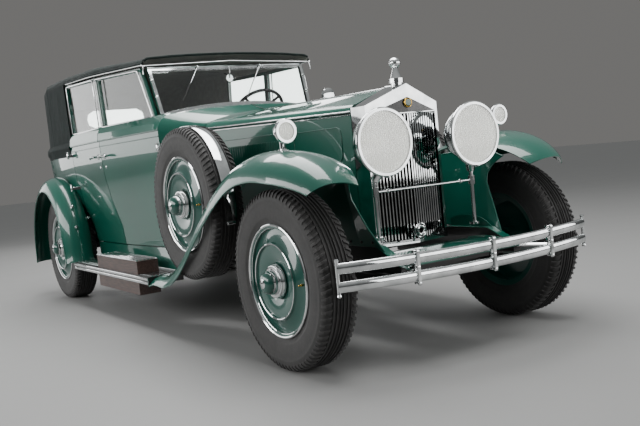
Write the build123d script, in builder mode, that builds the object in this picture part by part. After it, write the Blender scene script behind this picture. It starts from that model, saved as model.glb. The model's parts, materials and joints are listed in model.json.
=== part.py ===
# Convertible sedan of about 1930, in millimetres.
# Stations are measured from the front axle: X forward, Y to the car's left, Z up from the ground.
# Every piece is moved at the end so that the origin lies under the middle of the car.
import math
import os

from build123d import *

# Main sizes
wheelbase = 3840
half_track = 742
tyre_radius = 446
tyre_half_width = 95
bead_radius = 268
front_reach = 650
rear_reach = -4710
shift_x = -(front_reach + rear_reach) / 2

# Heights
sill_z = 500
belt_z = 1250
glass_sill_z = 1405
frame_top_z = 560
frame_bottom_z = 430
board_top_z = 350
board_bottom_z = 300

# Stations along the car
hood_front_x = -86
hood_rear_x = -1430
pillar_x = -1615
screen_x = -1822
post_b_x = -2650
door_rear_x = -3420
door_gap = 6

parts = {}


def keep(name, *solids):
    """Keep one named piece, made of one or more solids that do not touch."""
    flat = []
    for solid in solids:
        flat.extend(solid.solids())
    piece = flat[0] if len(flat) == 1 else Compound(flat)
    parts[name] = piece


def both_sides(solid):
    """The solid and its mirror image across the middle plane of the car."""
    return [solid, solid.mirror(Plane.XZ)]


# Tyres: one section turned about the axle
def tyre_at(x, y, z):
    with BuildPart() as tyre:
        with BuildSketch(Plane.XZ):
            with BuildLine():
                tread = Line((-74, tyre_radius), (74, tyre_radius))
                shoulder_out = ThreePointArc((74, tyre_radius), (86, tyre_radius - 9), (90, tyre_radius - 26))
                wall_out = ThreePointArc((90, tyre_radius - 26), (tyre_half_width, 372), (82, 300))
                Line((82, 300), (63, bead_radius))
                bead = Line((63, bead_radius), (-63, bead_radius))
                Line((-63, bead_radius), (-82, 300))
                wall_in = ThreePointArc((-82, 300), (-tyre_half_width, 372), (-90, tyre_radius - 26))
                shoulder_in = ThreePointArc((-90, tyre_radius - 26), (-86, tyre_radius - 9), (-74, tyre_radius))
            make_face()
        revolve(axis=Axis.X)
    turned = tyre.part.rotate(Axis.Z, 90)
    return turned.translate((x, y, z))


# Wheel: rim, dished disc, raised ring and hub cap, outer face towards +Y
rim_inner_radius = 240
hub_bore = 24


def wheel_at(x, y, z, outward, bore):
    with BuildPart() as wheel:
        with BuildSketch(Plane.XY):
            with BuildLine():
                Polyline(
                    (bore, -40), (62, -40), (62, 20), (210, 26), (rim_inner_radius, 6), (rim_inner_radius, -64),
                    (bead_radius - 6, -72), (bead_radius + 10, -76), (bead_radius + 10, -70),
                    (bead_radius - 1, -64), (bead_radius - 1, 64), (bead_radius + 4, 70), (bead_radius + 12, 78),
                    (bead_radius + 8, 86), (bead_radius - 6, 84), (bead_radius - 12, 66),
                )
                ThreePointArc((bead_radius - 12, 66), (228, 74), (196, 92))
                Line((196, 92), (190, 100))
                Line((190, 100), (180, 100))
                Line((180, 100), (176, 92))
                ThreePointArc((176, 92), (130, 88), (84, 74))
                Line((84, 74), (78, 74))
                Line((78, 74), (78, 100))
                ThreePointArc((78, 100), (60, 104), (58, 118))
                ThreePointArc((58, 118), (50, 150), (30, 164))
                ThreePointArc((30, 164), (15, 168), (0.001, 169))
                Line((0.001, 169), (0.001, 60))
                Line((0.001, 60), (bore, 60))
                Line((bore, 60), (bore, -40))
            make_face()
        revolve(axis=Axis.Y)
    solid = wheel.part
    if outward < 0:
        solid = solid.mirror(Plane.XZ)
    return solid.translate((x, y, z))


rest_z = tyre_radius
axle_x = {"front": 0, "rear": -wheelbase}
for end, x in axle_x.items():
    for side_name, side in (("left", 1), ("right", -1)):
        parts[f"tyre_{end}_{side_name}"] = tyre_at(x, side * half_track, rest_z)
        parts[f"wheel_{end}_{side_name}"] = wheel_at(x, side * half_track, rest_z, side, hub_bore)

spare_x = -990
spare_y = 768
spare_z = 825
keep("spare_tyres", tyre_at(spare_x, spare_y, spare_z), tyre_at(spare_x, -spare_y, spare_z))
keep(
    "spare_wheels",
    wheel_at(spare_x, spare_y, spare_z, 1, hub_bore),
    wheel_at(spare_x, -spare_y, spare_z, -1, hub_bore),
)

# Chassis frame: two side rails joined by cross members
rail_front_y = 395
rail_rear_y = 520
rail_width = 50
with BuildPart() as frame:
    with BuildSketch(Plane.XZ):
        with BuildLine():
            Polyline(
                (430, 470), (380, 500), (250, frame_top_z), (-3330, frame_top_z), (-3520, 700), (-4060, 700),
                (-4260, 600), (-4470, 580), (-4470, 520), (-4240, 500), (-4040, 600), (-3560, 600),
                (-3360, frame_bottom_z), (150, frame_bottom_z), (330, 440), (430, 440),
                close=True,
            )
        make_face()
    extrude(amount=700, both=True)
    with BuildSketch(Plane.XY):
        with BuildLine():
            Polyline(
                (440, rail_front_y), (-900, rail_front_y), (-1700, rail_rear_y), (-4480, rail_rear_y),
                (-4480, rail_rear_y - rail_width), (-1680, rail_rear_y - rail_width),
                (-880, rail_front_y - rail_width), (440, rail_front_y - rail_width),
                close=True,
            )
        make_face()
        mirror(about=Plane.XZ)
    extrude(amount=1200, mode=Mode.INTERSECT)
    for x, half_length, z in ((300, rail_front_y, 458), (-1400, 465, 500), (-2400, 500, 500), (-3100, 500, 500)):
        with Locations((x, 0, z)):
            Box(60, 2 * (half_length - 30), 60)
    for x, z in ((-3640, 650), (-4440, 550)):
        with Locations((x, 0, z)):
            Box(60, 2 * (rail_rear_y - 30), 50)
keep("chassis_frame", frame.part)

# Front axle beam with its king pins, rear axle, and the leaf springs over both
king_y = 640
pin_radius = 16
running_gap = 0.05
stub_radius = hub_bore - running_gap
with BuildPart() as beam:
    with BuildSketch(Plane.YZ):
        with BuildLine():
            Polyline(
                (0, 325), (470, 325), (570, 400), (king_y, 430), (king_y, 462), (560, 455), (455, 388), (0, 388),
                close=True,
            )
        make_face()
        mirror(about=Plane.YZ)
    extrude(amount=28, both=True)
    with Locations((0, king_y, 446), (0, -king_y, 446)):
        Cylinder(radius=34, height=200, mode=Mode.SUBTRACT)
    with Locations((0, king_y, 446), (0, -king_y, 446)):
        Cylinder(radius=27, height=32)
        Cylinder(radius=pin_radius, height=102)
keep("front_axle", beam.part)

with BuildPart() as rear_beam:
    with Locations((-wheelbase, 0, rest_z)):
        Cylinder(radius=45, height=1300, rotation=(90, 0, 0))
        Cylinder(radius=stub_radius, height=1596, rotation=(90, 0, 0))
        Sphere(radius=135)
keep("rear_axle", rear_beam.part)

for side_name, side in (("left", 1), ("right", -1)):
    with BuildPart() as knuckle:
        with Locations((0, king_y, 481), (0, king_y, 411)):
            Cylinder(radius=30, height=28)
        with Locations((0, 680, 446)):
            Box(60, 16, 98)
        with Locations((0, 659, 481), (0, 659, 411)):
            Box(60, 38, 28)
        with Locations((0, 736, 446)):
            Cylinder(radius=stub_radius, height=124, rotation=(90, 0, 0))
        with Locations((0, king_y, 446)):
            Cylinder(radius=pin_radius + running_gap, height=120, mode=Mode.SUBTRACT)
    solid = knuckle.part if side > 0 else knuckle.part.mirror(Plane.XZ)
    keep(f"knuckle_{side_name}", solid)


def spring_at(y, ends, middle, thickness):
    (x1, z1), (x2, z2) = ends
    xm, zm = middle
    with BuildPart() as spring:
        with BuildSketch(Plane.XZ.offset(-y)):
            with BuildLine():
                ThreePointArc((x1, z1), (xm, zm), (x2, z2))
                Line((x2, z2), (x2, z2 + thickness * 0.6))
                ThreePointArc((x2, z2 + thickness * 0.6), (xm, zm + thickness), (x1, z1 + thickness * 0.6))
                Line((x1, z1 + thickness * 0.6), (x1, z1))
            make_face()
        extrude(amount=22, both=True)
    return spring.part


springs = []
for side in (1, -1):
    springs.append(spring_at(side * 370, ((400, 397), (-560, 405)), (0, 390.5), 34))
    springs.append(spring_at(side * 545, ((-3408, 412), (-4240, 455)), (-wheelbase, 492), 36))
keep("leaf_springs", *springs)

with BuildPart() as engine:
    with Locations((-640, 0, 765)):
        Box(980, 340, 560)
keep("engine", engine.part)

with BuildPart() as exhaust:
    with Locations((-2500, -250, 345)):
        Cylinder(radius=28, height=3900, rotation=(0, 90, 0))
    with Locations((-2500, -250, 345)):
        Cylinder(radius=80, height=700, rotation=(0, 90, 0))
with BuildPart() as tank:
    with Locations((-4265, 0, 483)):
        Box(270, 860, 146)
    fillet(tank.edges().filter_by(Axis.Y), radius=40)
keep("exhaust_and_tank", exhaust.part, tank.part)

# Fenders: a crowned section carried along the wheel arch on planes square to the path.
# Each row: crown x, crown z, path slope in degrees, crown y, inner y, inner drop, outer y, outer drop
fender_skin = 6
front_fender_rows = (
    (415, 905, -52, 715, 560, 42, 830, 70),
    (300, 1000, -33, 725, 520, 55, 872, 112),
    (120, 1062, -12, 732, 490, 62, 893, 136),
    (-90, 1076, 6, 738, 478, 66, 900, 140),
    (-330, 1035, 22, 746, 475, 66, 900, 140),
    (-590, 905, 34, 762, 478, 60, 900, 136),
    (-860, 706, 38, 775, 486, 52, 898, 128),
    (-1130, 505, 34, 782, 500, 44, 893, 112),
    (-1380, 390, 14, 786, 560, 30, 888, 84),
    (-1618, 352, 0, 790, 640, 16, 884, 58),
)


def fender_section(row, depth):
    x, z, slope, crown_y, inner_y, inner_drop, outer_y, outer_drop = row
    lean = math.radians(slope)
    along = (-math.cos(lean), 0, -math.sin(lean))
    plane = Plane(origin=(x, 0, z), x_dir=(0, 1, 0), z_dir=along)
    up = 1 if plane.y_dir.Z > 0 else -1
    wide_in = crown_y - inner_y
    wide_out = outer_y - crown_y
    r_in = (wide_in**2 + inner_drop**2) / (2 * inner_drop)
    r_out = (wide_out**2 + outer_drop**2) / (2 * outer_drop)
    a_in = math.asin(min(1, wide_in / r_in))
    a_out = math.asin(min(1, wide_out / r_out))

    def on_in(share, radius):
        return (crown_y - radius * math.sin(a_in * share), up * (radius * math.cos(a_in * share) - r_in))

    def on_out(share, radius):
        return (crown_y + radius * math.sin(a_out * share), up * (radius * math.cos(a_out * share) - r_out))

    low_in = r_in - depth
    low_out = r_out - depth
    with BuildSketch(plane) as section:
        with BuildLine():
            ThreePointArc(on_in(1, r_in), on_in(0.5, r_in), (crown_y, 0))
            ThreePointArc((crown_y, 0), on_out(0.5, r_out), on_out(1, r_out))
            Line(on_out(1, r_out), on_out(1, low_out))
            ThreePointArc(on_out(1, low_out), on_out(0.5, low_out), (crown_y, -up * depth))
            ThreePointArc((crown_y, -up * depth), on_in(0.5, low_in), on_in(1, low_in))
            Line(on_in(1, low_in), on_in(1, r_in))
        make_face()
    return section.sketch


def fender_from(rows):
    with BuildPart() as fender:
        loft(sections=[fender_section(row, fender_skin) for row in rows])
    return fender.part


front_fender = fender_from(front_fender_rows)
rear_fender_rows = (
    (-3302, 352, -84, 800, 705, 26, 935, 62),
    (-3330, 580, -80, 800, 712, 30, 935, 84),
    (-3412, 810, -62, 804, 720, 32, 935, 100),
    (-3600, 990, -32, 808, 728, 34, 935, 110),
    (-3840, 1062, 0, 812, 728, 34, 935, 112),
    (-4100, 1000, 30, 808, 722, 34, 935, 110),
    (-4310, 810, 58, 804, 705, 32, 935, 100),
    (-4412, 560, 76, 800, 690, 30, 935, 84),
    (-4448, 300, 86, 800, 680, 28, 932, 70),
)

# The spare wheels stand in wells cut down into the front fenders
with BuildPart() as well_cutter:
    with Locations((spare_x, spare_y, spare_z)):
        Cylinder(radius=tyre_radius + 8, height=216, rotation=(90, 0, 0))
front_fender = front_fender - well_cutter.part
rear_fender = fender_from(rear_fender_rows)
keep("front_fenders", *both_sides(front_fender))
keep("rear_fenders", *both_sides(rear_fender))

# Running boards and the two step boxes let into them
step_front_x = -1860
step_rear_x = -2730
with BuildPart() as board:
    with BuildSketch(Plane.XZ.offset(-640)):
        with BuildLine():
            Polyline(
                (-1621, board_bottom_z), (-1621, board_top_z), (-3290, board_top_z), (-3290, board_bottom_z),
                close=True,
            )
        make_face()
    extrude(amount=-244)
    with Locations(((step_front_x + step_rear_x) / 2, 790, 325)):
        Box(step_front_x - step_rear_x + 2, 152, 90, mode=Mode.SUBTRACT)
with BuildPart() as step:
    with Locations(((step_front_x + step_rear_x) / 2, 790, 325)):
        Box(step_front_x - step_rear_x, 150, 230)
keep("running_boards", *both_sides(board.part))
keep("step_boxes", *both_sides(step.part))


def tunnel_face(x, low, shoulder, brow, crown_z):
    """A closed upright section: straight side, tangent shoulder arc and crowned top."""
    with BuildSketch(Plane.YZ.offset(x)) as section:
        with BuildLine():
            side = Line(low, shoulder)
            TangentArc([shoulder, brow], tangent=side % 1)
            mirror(about=Plane.YZ)
            ThreePointArc(brow, (0, crown_z), (-brow[0], brow[1]))
            Line(low, (-low[0], low[1]))
        make_face()
    return section.sketch


def tunnel(rows):
    with BuildPart() as solid:
        loft(sections=[tunnel_face(*row) for row in rows], ruled=len(rows) == 2)
    return solid.part


def block(x1, x2, y1, y2, z1, z2):
    with BuildPart() as solid:
        with Locations(((x1 + x2) / 2, (y1 + y2) / 2, (z1 + z2) / 2)):
            Box(abs(x2 - x1), abs(y2 - y1), abs(z2 - z1))
    return solid.part


def round_y(x, z, radius, y1, y2):
    with BuildPart() as solid:
        with Locations((x, (y1 + y2) / 2, z)):
            Cylinder(radius=radius, height=abs(y2 - y1), rotation=(90, 0, 0))
    return solid.part


def bar(a, b, radius):
    start, end = Vector(*a), Vector(*b)
    with BuildPart() as rod:
        with BuildSketch(Plane(origin=start, z_dir=end - start)):
            Circle(radius)
        extrude(amount=(end - start).length)
    return rod.part


# Cowl: from the back of the hood out to the front door posts, then under the windscreen
cowl_wall = 24
cowl_rows = (
    (hood_rear_x - 6, (445, 562), (456, 1268), (408, 1322), 1376),
    (-1520, (510, 562), (572, 1264), (505, 1350), 1400),
    (pillar_x, (584, 562), (706, 1266), (606, 1396), 1430),
)
scuttle_rows = (
    (pillar_x + 2, (645, 1180), (648, 1240), (548, 1392), 1430),
    (screen_x, (640, 1180), (645, 1292), (573, 1402), 1456),
)


def inset(rows, wall):
    out = []
    for x, low, shoulder, brow, crown_z in rows:
        out.append(
            (
                x,
                (low[0] - wall, low[1] - wall),
                (shoulder[0] - wall, shoulder[1]),
                (brow[0] - wall * 0.8, brow[1] - wall * 0.8),
                crown_z - wall,
            )
        )
    return out


cowl_outer = tunnel(cowl_rows)
cowl_inner = tunnel(inset(cowl_rows, cowl_wall))
firewall = cowl_outer & block(hood_rear_x + 10, hood_rear_x - 30, -900, 900, 500, 1500)
cowl_shell = cowl_outer - cowl_inner + firewall
scuttle_shell = tunnel(scuttle_rows) - tunnel(inset(scuttle_rows, cowl_wall))
scuttle_shell = scuttle_shell & block(pillar_x + 2, screen_x, -900, 900, 1240, 1500)
dash = block(-1740, -1756, -560, 560, 1245, 1385)
hinge_pin = bar((hood_front_x, 0, 1357), (hood_rear_x - 30, 0, 1357 + (hood_front_x - hood_rear_x + 30) * 0.014948), 3.6)
cowl = cowl_shell + scuttle_shell + dash + hinge_pin
keep("cowl", cowl)

# Hood: two top halves hinged on the middle line and two side panels hinged on their edges
hood_sheet = 5
hood_front = ((240, 610), (240, 1236), (198, 1284), 1356)
hood_rear = ((445, 610), (456, 1268), (408, 1322), 1376)
hood_gap = 6


def hood_half_face(x, shoulder, brow, crown_z, sheet):
    with BuildSketch(Plane.YZ.offset(x)) as section:
        with BuildLine():
            TangentArc([(shoulder[0], shoulder[1]), brow], tangent=(0, 1))
            Line(brow, (4.5, crown_z))
            Line((4.5, crown_z), (4.5, crown_z - sheet))
            Line((4.5, crown_z - sheet), (brow[0] - sheet * 0.7, brow[1] - sheet))
            TangentArc([(shoulder[0] - sheet, shoulder[1]), (brow[0] - sheet * 0.7, brow[1] - sheet)], tangent=(0, 1))
            Line((shoulder[0] - sheet, shoulder[1]), shoulder)
        make_face()
    return section.sketch


def raised(point, up):
    return (point[0], point[1] + up)


with BuildPart() as hood_top:
    loft(
        sections=[
            hood_half_face(hood_front_x, raised(hood_front[1], 4), hood_front[2], hood_front[3], hood_sheet),
            hood_half_face(hood_rear_x + hood_gap, raised(hood_rear[1], 4), hood_rear[2], hood_rear[3], hood_sheet),
        ],
        ruled=True,
    )


def side_face(x, low, high, sheet):
    with BuildSketch(Plane.YZ.offset(x)) as section:
        with BuildLine():
            Polyline(low, high, (high[0] - sheet, high[1]), (low[0] - sheet, low[1]), close=True)
        make_face()
    return section.sketch


with BuildPart() as hood_side:
    loft(
        sections=[
            side_face(hood_front_x, hood_front[0], raised(hood_front[1], -4), hood_sheet),
            side_face(hood_rear_x + hood_gap, hood_rear[0], raised(hood_rear[1], -4), hood_sheet),
        ],
        ruled=True,
    )
keep("hood_top_left", hood_top.part)
keep("hood_top_right", hood_top.part.mirror(Plane.XZ))
keep("hood_sides", *both_sides(hood_side.part))

# Radiator: gabled shell with a shallow V front, core block and upright slats
shell_half_width = 240
shell_foot_z = 525
shell_shoulder_z = 1262
shell_peak_z = 1362
shell_back_x = -80
shell_side_x = 45
shell_nose_x = 98


def gable(half_width, foot_z, shoulder_z, peak_z, corner):
    with BuildSketch(Plane.YZ) as face:
        with BuildLine():
            Polyline(
                (-half_width, foot_z), (half_width, foot_z), (half_width, shoulder_z), (0, peak_z),
                (-half_width, shoulder_z), close=True,
            )
        make_face()
        fillet([v for v in face.vertices() if abs(v.Y) > 1 and v.Z > foot_z + 1], radius=corner)
    return face.sketch


def prism_x(face, x1, x2):
    with BuildPart() as solid:
        extrude(to_extrude=face, amount=x2 - x1, dir=(1, 0, 0))
    return solid.part.translate((x1, 0, 0))


with BuildPart() as nose:
    with BuildSketch(Plane.XY):
        Polygon(
            (shell_back_x, 300), (shell_side_x - 12, 300), (shell_side_x, shell_half_width), (shell_nose_x, 0),
            (shell_side_x, -shell_half_width), (shell_side_x - 12, -300), (shell_back_x, -300),
            align=None,
        )
    extrude(amount=1500)
shell_outside = prism_x(gable(shell_half_width, shell_foot_z, shell_shoulder_z, shell_peak_z, 40), -80, 120)
shell_inside = prism_x(gable(shell_half_width - 20, shell_foot_z + 22, shell_shoulder_z - 46, 1292, 26), -90, 130)
radiator_shell = (shell_outside & nose.part) - shell_inside
with BuildPart() as cap:
    with Locations((20, 0, 1352)):
        Cylinder(radius=30, height=20, align=(Align.CENTER, Align.CENTER, Align.MIN))
    with Locations((20, 0, 1372)):
        Cylinder(radius=38, height=24, align=(Align.CENTER, Align.CENTER, Align.MIN))
    with Locations((20, 0, 1396)):
        Cone(bottom_radius=30, top_radius=12, height=60, align=(Align.CENTER, Align.CENTER, Align.MIN))
    with Locations((20, 0, 1478)):
        Sphere(radius=30)
crank_radius = 11
crank_z = 590
crank_boss = bar((50, 0, crank_z), (118, 0, crank_z), 26)
crank_bore = bar((50, 0, crank_z), (130, 0, crank_z), crank_radius)
radiator_shell = radiator_shell + cap.part + crank_boss - crank_bore
keep("radiator_shell", radiator_shell)
core = block(-70, 10, -218, 218, shell_foot_z + 24, 1205)
slats = []
for index in range(-11, 12):
    y = index * 18.5
    front_x = shell_nose_x - 8 - abs(y) * (shell_nose_x - shell_side_x) / shell_half_width
    top_z = 1270 - abs(y) * 0.33
    slats.append(block(12, front_x, y - 3.5, y + 3.5, shell_foot_z + 24, min(top_z, 1262)))
grille_bar = block(10, 20, -218, 218, shell_foot_z + 24, shell_foot_z + 44)
grille = core + grille_bar
for slat in slats:
    grille = grille + slat
grille = grille & prism_x(gable(219, shell_foot_z + 23, 1215, 1291, 25), -90, 130)
keep("radiator_grille", grille - bar((30, 0, crank_z), (118, 0, crank_z), 28))

# Body side line at the middle posts, from the sill up to the top of the door glass (y, z)
side_line = (
    (650, sill_z), (664, 640), (722, 845), (754, 1010), (768, 1150), (772, belt_z), (772, 1294), (784, 1304),
    (778, 1354), (750, glass_sill_z),
)
upper_line = ((750, glass_sill_z), (768, 1840))
low_pillar_shift = -66
high_pillar_shift = -150
rear_shift = -8


def toe(x, z):
    """How far the body side moves in at station x and height z, relative to the middle posts."""
    if x > post_b_x:
        high = min(1, max(0, (z - 1304) / (glass_sill_z - 1304)))
        shift = low_pillar_shift + (high_pillar_shift - low_pillar_shift) * high
        return shift * (x - post_b_x) / (pillar_x - post_b_x)
    return rear_shift * (x - post_b_x) / (door_rear_x - post_b_x)


def side_slab(x1, x2, line, depth):
    """A slab of the body side between two stations, of the given depth inwards."""
    faces = []
    for x in (x1, x2):
        outer = [(y + toe(x, z), z) for y, z in line]
        inner = [(y - depth, z) for y, z in reversed(outer)]
        with BuildSketch(Plane.YZ.offset(x)) as section:
            with BuildLine():
                Polyline(*outer, *inner, close=True)
            make_face()
        faces.append(section.sketch)
    with BuildPart() as slab:
        loft(sections=faces, ruled=True)
    return slab.part


# Roof line of the door frames: height of the frame top at station x
def frame_top(x):
    return 1712 + (pillar_x - 200 - x) * 0.042


door_depth = 44
frame_depth = 24
frame_bar = 26
glass_half = 2.5


def window_outline(front_low, front_high, back_low, back_high, grow):
    """Side view outline of a door's window, grown outwards by the given amount."""
    with BuildSketch(Plane.XZ) as outline:
        Polygon(
            (front_low + grow, glass_sill_z - grow), (front_high + grow, frame_top(front_high) + grow),
            (back_high - grow, frame_top(back_high) + grow), (back_low - grow, glass_sill_z - grow),
            align=None,
        )
    return outline.sketch


def side_cut(outline):
    with BuildPart() as cut:
        extrude(to_extrude=outline, amount=1000, dir=(0, 1, 0))
    return cut.part


def side_y(x, z):
    """How far out the body side stands at station x and height z."""
    for (y1, z1), (y2, z2) in zip(side_line, side_line[1:]):
        if z1 <= z <= z2:
            return y1 + (y2 - y1) * (z - z1) / (z2 - z1) + toe(x, z)


def hinge(axis_x, axis_y, reach, z):
    """A barrel on the door's axis, with the arm that carries the door's skin from it."""
    skin_y = side_y(axis_x + reach, z) - 5
    barrel = bar((axis_x, axis_y, z - 24), (axis_x, axis_y, z + 28), 7.5)
    run, rise = reach, skin_y - axis_y
    length = math.hypot(run, rise)
    off_x, off_y = 3 * rise / length, 3 * run / length
    with BuildPart() as arm:
        with BuildSketch(Plane.XY.offset(z - 11)):
            Polygon(
                (axis_x + off_x, axis_y - off_y), (axis_x - off_x, axis_y + off_y),
                (axis_x + reach - off_x, skin_y + off_y), (axis_x + reach + off_x, skin_y - off_y), align=None,
            )
        extrude(amount=22)
    return barrel + arm.part


def lever_handle(x, toward, z=1182):
    """The outside lever on its spindle, pointing away from the middle post."""
    y = side_y(x, z)
    return bar((x, y - 4, z), (x, y + 38, z), 7) + bar((x, y + 38, z), (x + toward * 106, y + 34, z - 6), 7)


doors = {
    "front": {
        "x1": pillar_x - 5, "x2": post_b_x + 4, "window": (-1866, -1985, post_b_x + 34, post_b_x + 34),
        "axis": (pillar_x - 2, 722, -26), "hinges": (1180, 900, 620), "handle": (post_b_x + 62, 1),
    },
    "rear": {
        "x1": post_b_x - 4, "x2": door_rear_x + 1,
        "window": (post_b_x - 34, post_b_x - 34, door_rear_x + 38, door_rear_x + 34),
        "axis": (door_rear_x - 4, 800, 26), "hinges": (1225, 955), "handle": (post_b_x - 62, -1),
    },
}
for name, door in doors.items():
    x1, x2 = door["x1"], door["x2"]
    lower = side_slab(x1, x2, side_line, door_depth)
    hole = side_cut(window_outline(*door["window"], 0))
    rim = side_cut(window_outline(*door["window"], frame_bar))
    upper = side_slab(x1 + 200, x2 - 200, upper_line, frame_depth) & rim
    upper = upper & block(x1, x2, 500, 900, glass_sill_z, 1900)
    upper = upper - hole
    lower = lower & block(x1, x2, 500, 900, sill_z, glass_sill_z)
    body = lower + upper
    if name == "rear":
        body = body - round_y(-wheelbase, rest_z, tyre_radius + 26, 560, 900)
    for height in door["hinges"]:
        body = body + hinge(*door["axis"], height)
    body = body + lever_handle(*door["handle"])
    pane_line = [(y - 10, z) for y, z in upper_line]
    pane = side_slab(x1 + 200, x2 - 200, pane_line, 5) & hole
    keep(f"door_{name}_left", body)
    keep(f"door_{name}_right", body.mirror(Plane.XZ))
    keep(f"glass_{name}_left", pane)
    keep(f"glass_{name}_right", pane.mirror(Plane.XZ))

# Windscreen: a leaning frame standing on the scuttle, with one flat pane
screen_foot = (-1800, 1395)
screen_head = (-1916, 1738)
lean = math.atan2(screen_foot[0] - screen_head[0], screen_head[1] - screen_foot[1])
screen_plane = Plane(
    origin=(screen_foot[0], 0, screen_foot[1]), x_dir=(0, 1, 0), z_dir=(math.cos(lean), 0, math.sin(lean))
)
screen_height = math.dist(screen_foot, screen_head)
post_bar = 24


def screen_outline(grow):
    with BuildSketch(screen_plane) as outline:
        Polygon(
            (-572 - grow, -60), (572 + grow, -60), (596 + grow, screen_height + grow - post_bar),
            (-596 - grow, screen_height + grow - post_bar), align=None,
        )
    return outline.sketch


def slab_both(face, half):
    with BuildPart() as solid:
        extrude(to_extrude=face, amount=half, both=True)
    return solid.part


scuttle_solid = tunnel(scuttle_rows)
lifted_rows = [
    (x + (4 if x > -1700 else -60), low, raised(shoulder, 22), raised(brow, 22), crown_z + 22)
    for x, low, shoulder, brow, crown_z in scuttle_rows
]
lifted = tunnel(lifted_rows)
frame_blank = slab_both(screen_outline(post_bar), 12) - scuttle_solid
frame_blank = frame_blank & block(-2000, -1700, -700, 700, 1300, 1800)
opening = slab_both(screen_outline(0), 40) - lifted
screen_frame = frame_blank - opening
for side in (1, -1):
    screen_frame = screen_frame - block(-1900, -1700, side * 576, side * 700, 1300, 1412)
screen_pane = (slab_both(screen_outline(0), 3) - lifted) & block(-2000, -1700, -700, 700, 1300, 1800)
keep("windshield_frame", screen_frame)

# Soft top: an outer skin lofted over the hoops and hollowed, closed at the back
top_wall = 12
top_rows = (
    (-1876, 648, 1300, 664, 1766, 622, 1800, 1822),
    (-2650, 758, 1300, 777, 1800, 735, 1846, 1876),
    (-3420, 755, 1300, 770, 1828, 722, 1876, 1902),
    (-4000, 736, 1300, 748, 1836, 702, 1886, 1912),
    (-4250, 716, 1300, 724, 1806, 680, 1856, 1884),
    (-4370, 690, 1300, 696, 1740, 652, 1790, 1814),
    (-4436, 630, 1300, 634, 1650, 590, 1694, 1712),
)


def hoop_face(x, low_y, low_z, side_y, side_z, brow_y, brow_z, crown_z, wall):
    with BuildSketch(Plane.YZ.offset(x)) as section:
        with BuildLine():
            side = Line((low_y - wall, low_z - 1), (side_y - wall, side_z - wall * 0.5))
            TangentArc([side @ 1, (brow_y - wall * 0.7, brow_z - wall * 0.8)], tangent=side % 1)
            mirror(about=Plane.YZ)
            ThreePointArc(
                (brow_y - wall * 0.7, brow_z - wall * 0.8), (0, crown_z - wall),
                (-brow_y + wall * 0.7, brow_z - wall * 0.8),
            )
            Line((low_y - wall, low_z - 1), (wall - low_y, low_z - 1))
        make_face()
    return section.sketch


def canopy(wall, x_in):
    with BuildPart() as solid:
        loft(
            sections=[
                hoop_face(*(row[0] + (x_in if index == len(top_rows) - 1 else 0), *row[1:]), wall)
                for index, row in enumerate(top_rows)
            ],
            ruled=True,
        )
    return solid.part


top_skin = canopy(0, 0) - canopy(top_wall, top_wall)
with BuildPart() as top_trim:
    with BuildSketch(Plane.XZ):
        Polygon(
            (-1870, 1900), (-1870, 1754), (-2650, 1782), (-3400, 1814), (-3428, 1806), (-3442, 1400), (-3442, 1310),
            (-4700, 1310), (-4700, 2000), (-1870, 2000),
            align=None,
        )
    extrude(amount=900, both=True)
soft_top = top_skin & top_trim.part
with BuildPart() as back_window:
    with BuildSketch(Plane.YZ.offset(-4600)):
        with Locations((0, 1585)):
            RectangleRounded(580, 180, 78)
    extrude(amount=200)
soft_top = soft_top - back_window.part
keep("soft_top", soft_top)
back_pane = canopy(4, 4) - canopy(8, 8)
back_pane = back_pane & back_window.part
keep("fixed_glass", screen_pane, back_pane)

# Rear tub: side and back panels behind the doors, with a house over each rear wheel
tub_front_x = door_rear_x - door_gap
tub_levels = (
    (470, 642, -4330), (640, 656, -4362), (845, 714, -4396), (1010, 746, -4420), (1150, 760, -4434),
    (belt_z, 764, -4442), (1294, 764, -4445), (1304, 776, -4454),
)
tub_wall = 30
arch_radius = 505


def tub_face(z, half, back, wall):
    with BuildSketch(Plane.XY.offset(z)) as level:
        with BuildLine():
            Polyline(
                (tub_front_x + (20 if wall else 0), half - wall), (-4020, half - 12 - wall),
                (back + wall, half - 66 - wall), (back + wall, wall + 66 - half), (-4020, wall + 12 - half),
                (tub_front_x + (20 if wall else 0), wall - half), close=True,
            )
        make_face()
        fillet([v for v in level.vertices() if v.X < back + wall + 1], radius=150 - wall)
    return level.sketch


def tub_solid(wall):
    with BuildPart() as solid:
        rows = [(z + (2 if wall and z > 1300 else 0) - (2 if wall and z < 500 else 0), h, b) for z, h, b in tub_levels]
        loft(sections=[tub_face(z, half, back, wall) for z, half, back in rows], ruled=True)
    return solid.part


tub_outer = tub_solid(0)
tub = tub_outer - tub_solid(tub_wall)
for side in (1, -1):
    tub = tub - round_y(-wheelbase, rest_z, arch_radius, side * 602, side * 905)
tub = tub & block(tub_front_x, -4700, -900, 900, 480, 1304)
tub = tub - block(-4060, -4700, -900, 900, 400, 600)
for side in (1, -1):
    house = round_y(-wheelbase, rest_z, arch_radius + 12, side * 590, side * 900)
    space = round_y(-wheelbase, rest_z, arch_radius, side * 602, side * 905)
    lining = (house - space) & tub_outer
    tub = tub + (lining & block(-4600, tub_front_x, -900, 900, 560, 1200))
keep("rear_tub", tub)
rear_fender = parts["rear_fenders"].solids()[0] - tub_outer
if rear_fender.center().Y < 0:
    rear_fender = rear_fender.mirror(Plane.XZ)
keep("rear_fenders", *both_sides(rear_fender))


# Floor with its sills, splash panels and the step up over the rear axle
def sill_face(x, inner_y, outer_y):
    with BuildSketch(Plane.YZ.offset(x)) as section:
        Polygon(
            (inner_y, 590), (inner_y, 440), (628, 356), (634, 356), (outer_y, 492), (outer_y - 48, 492),
            (outer_y - 48, 590), align=None,
        )
    return section.sketch


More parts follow.
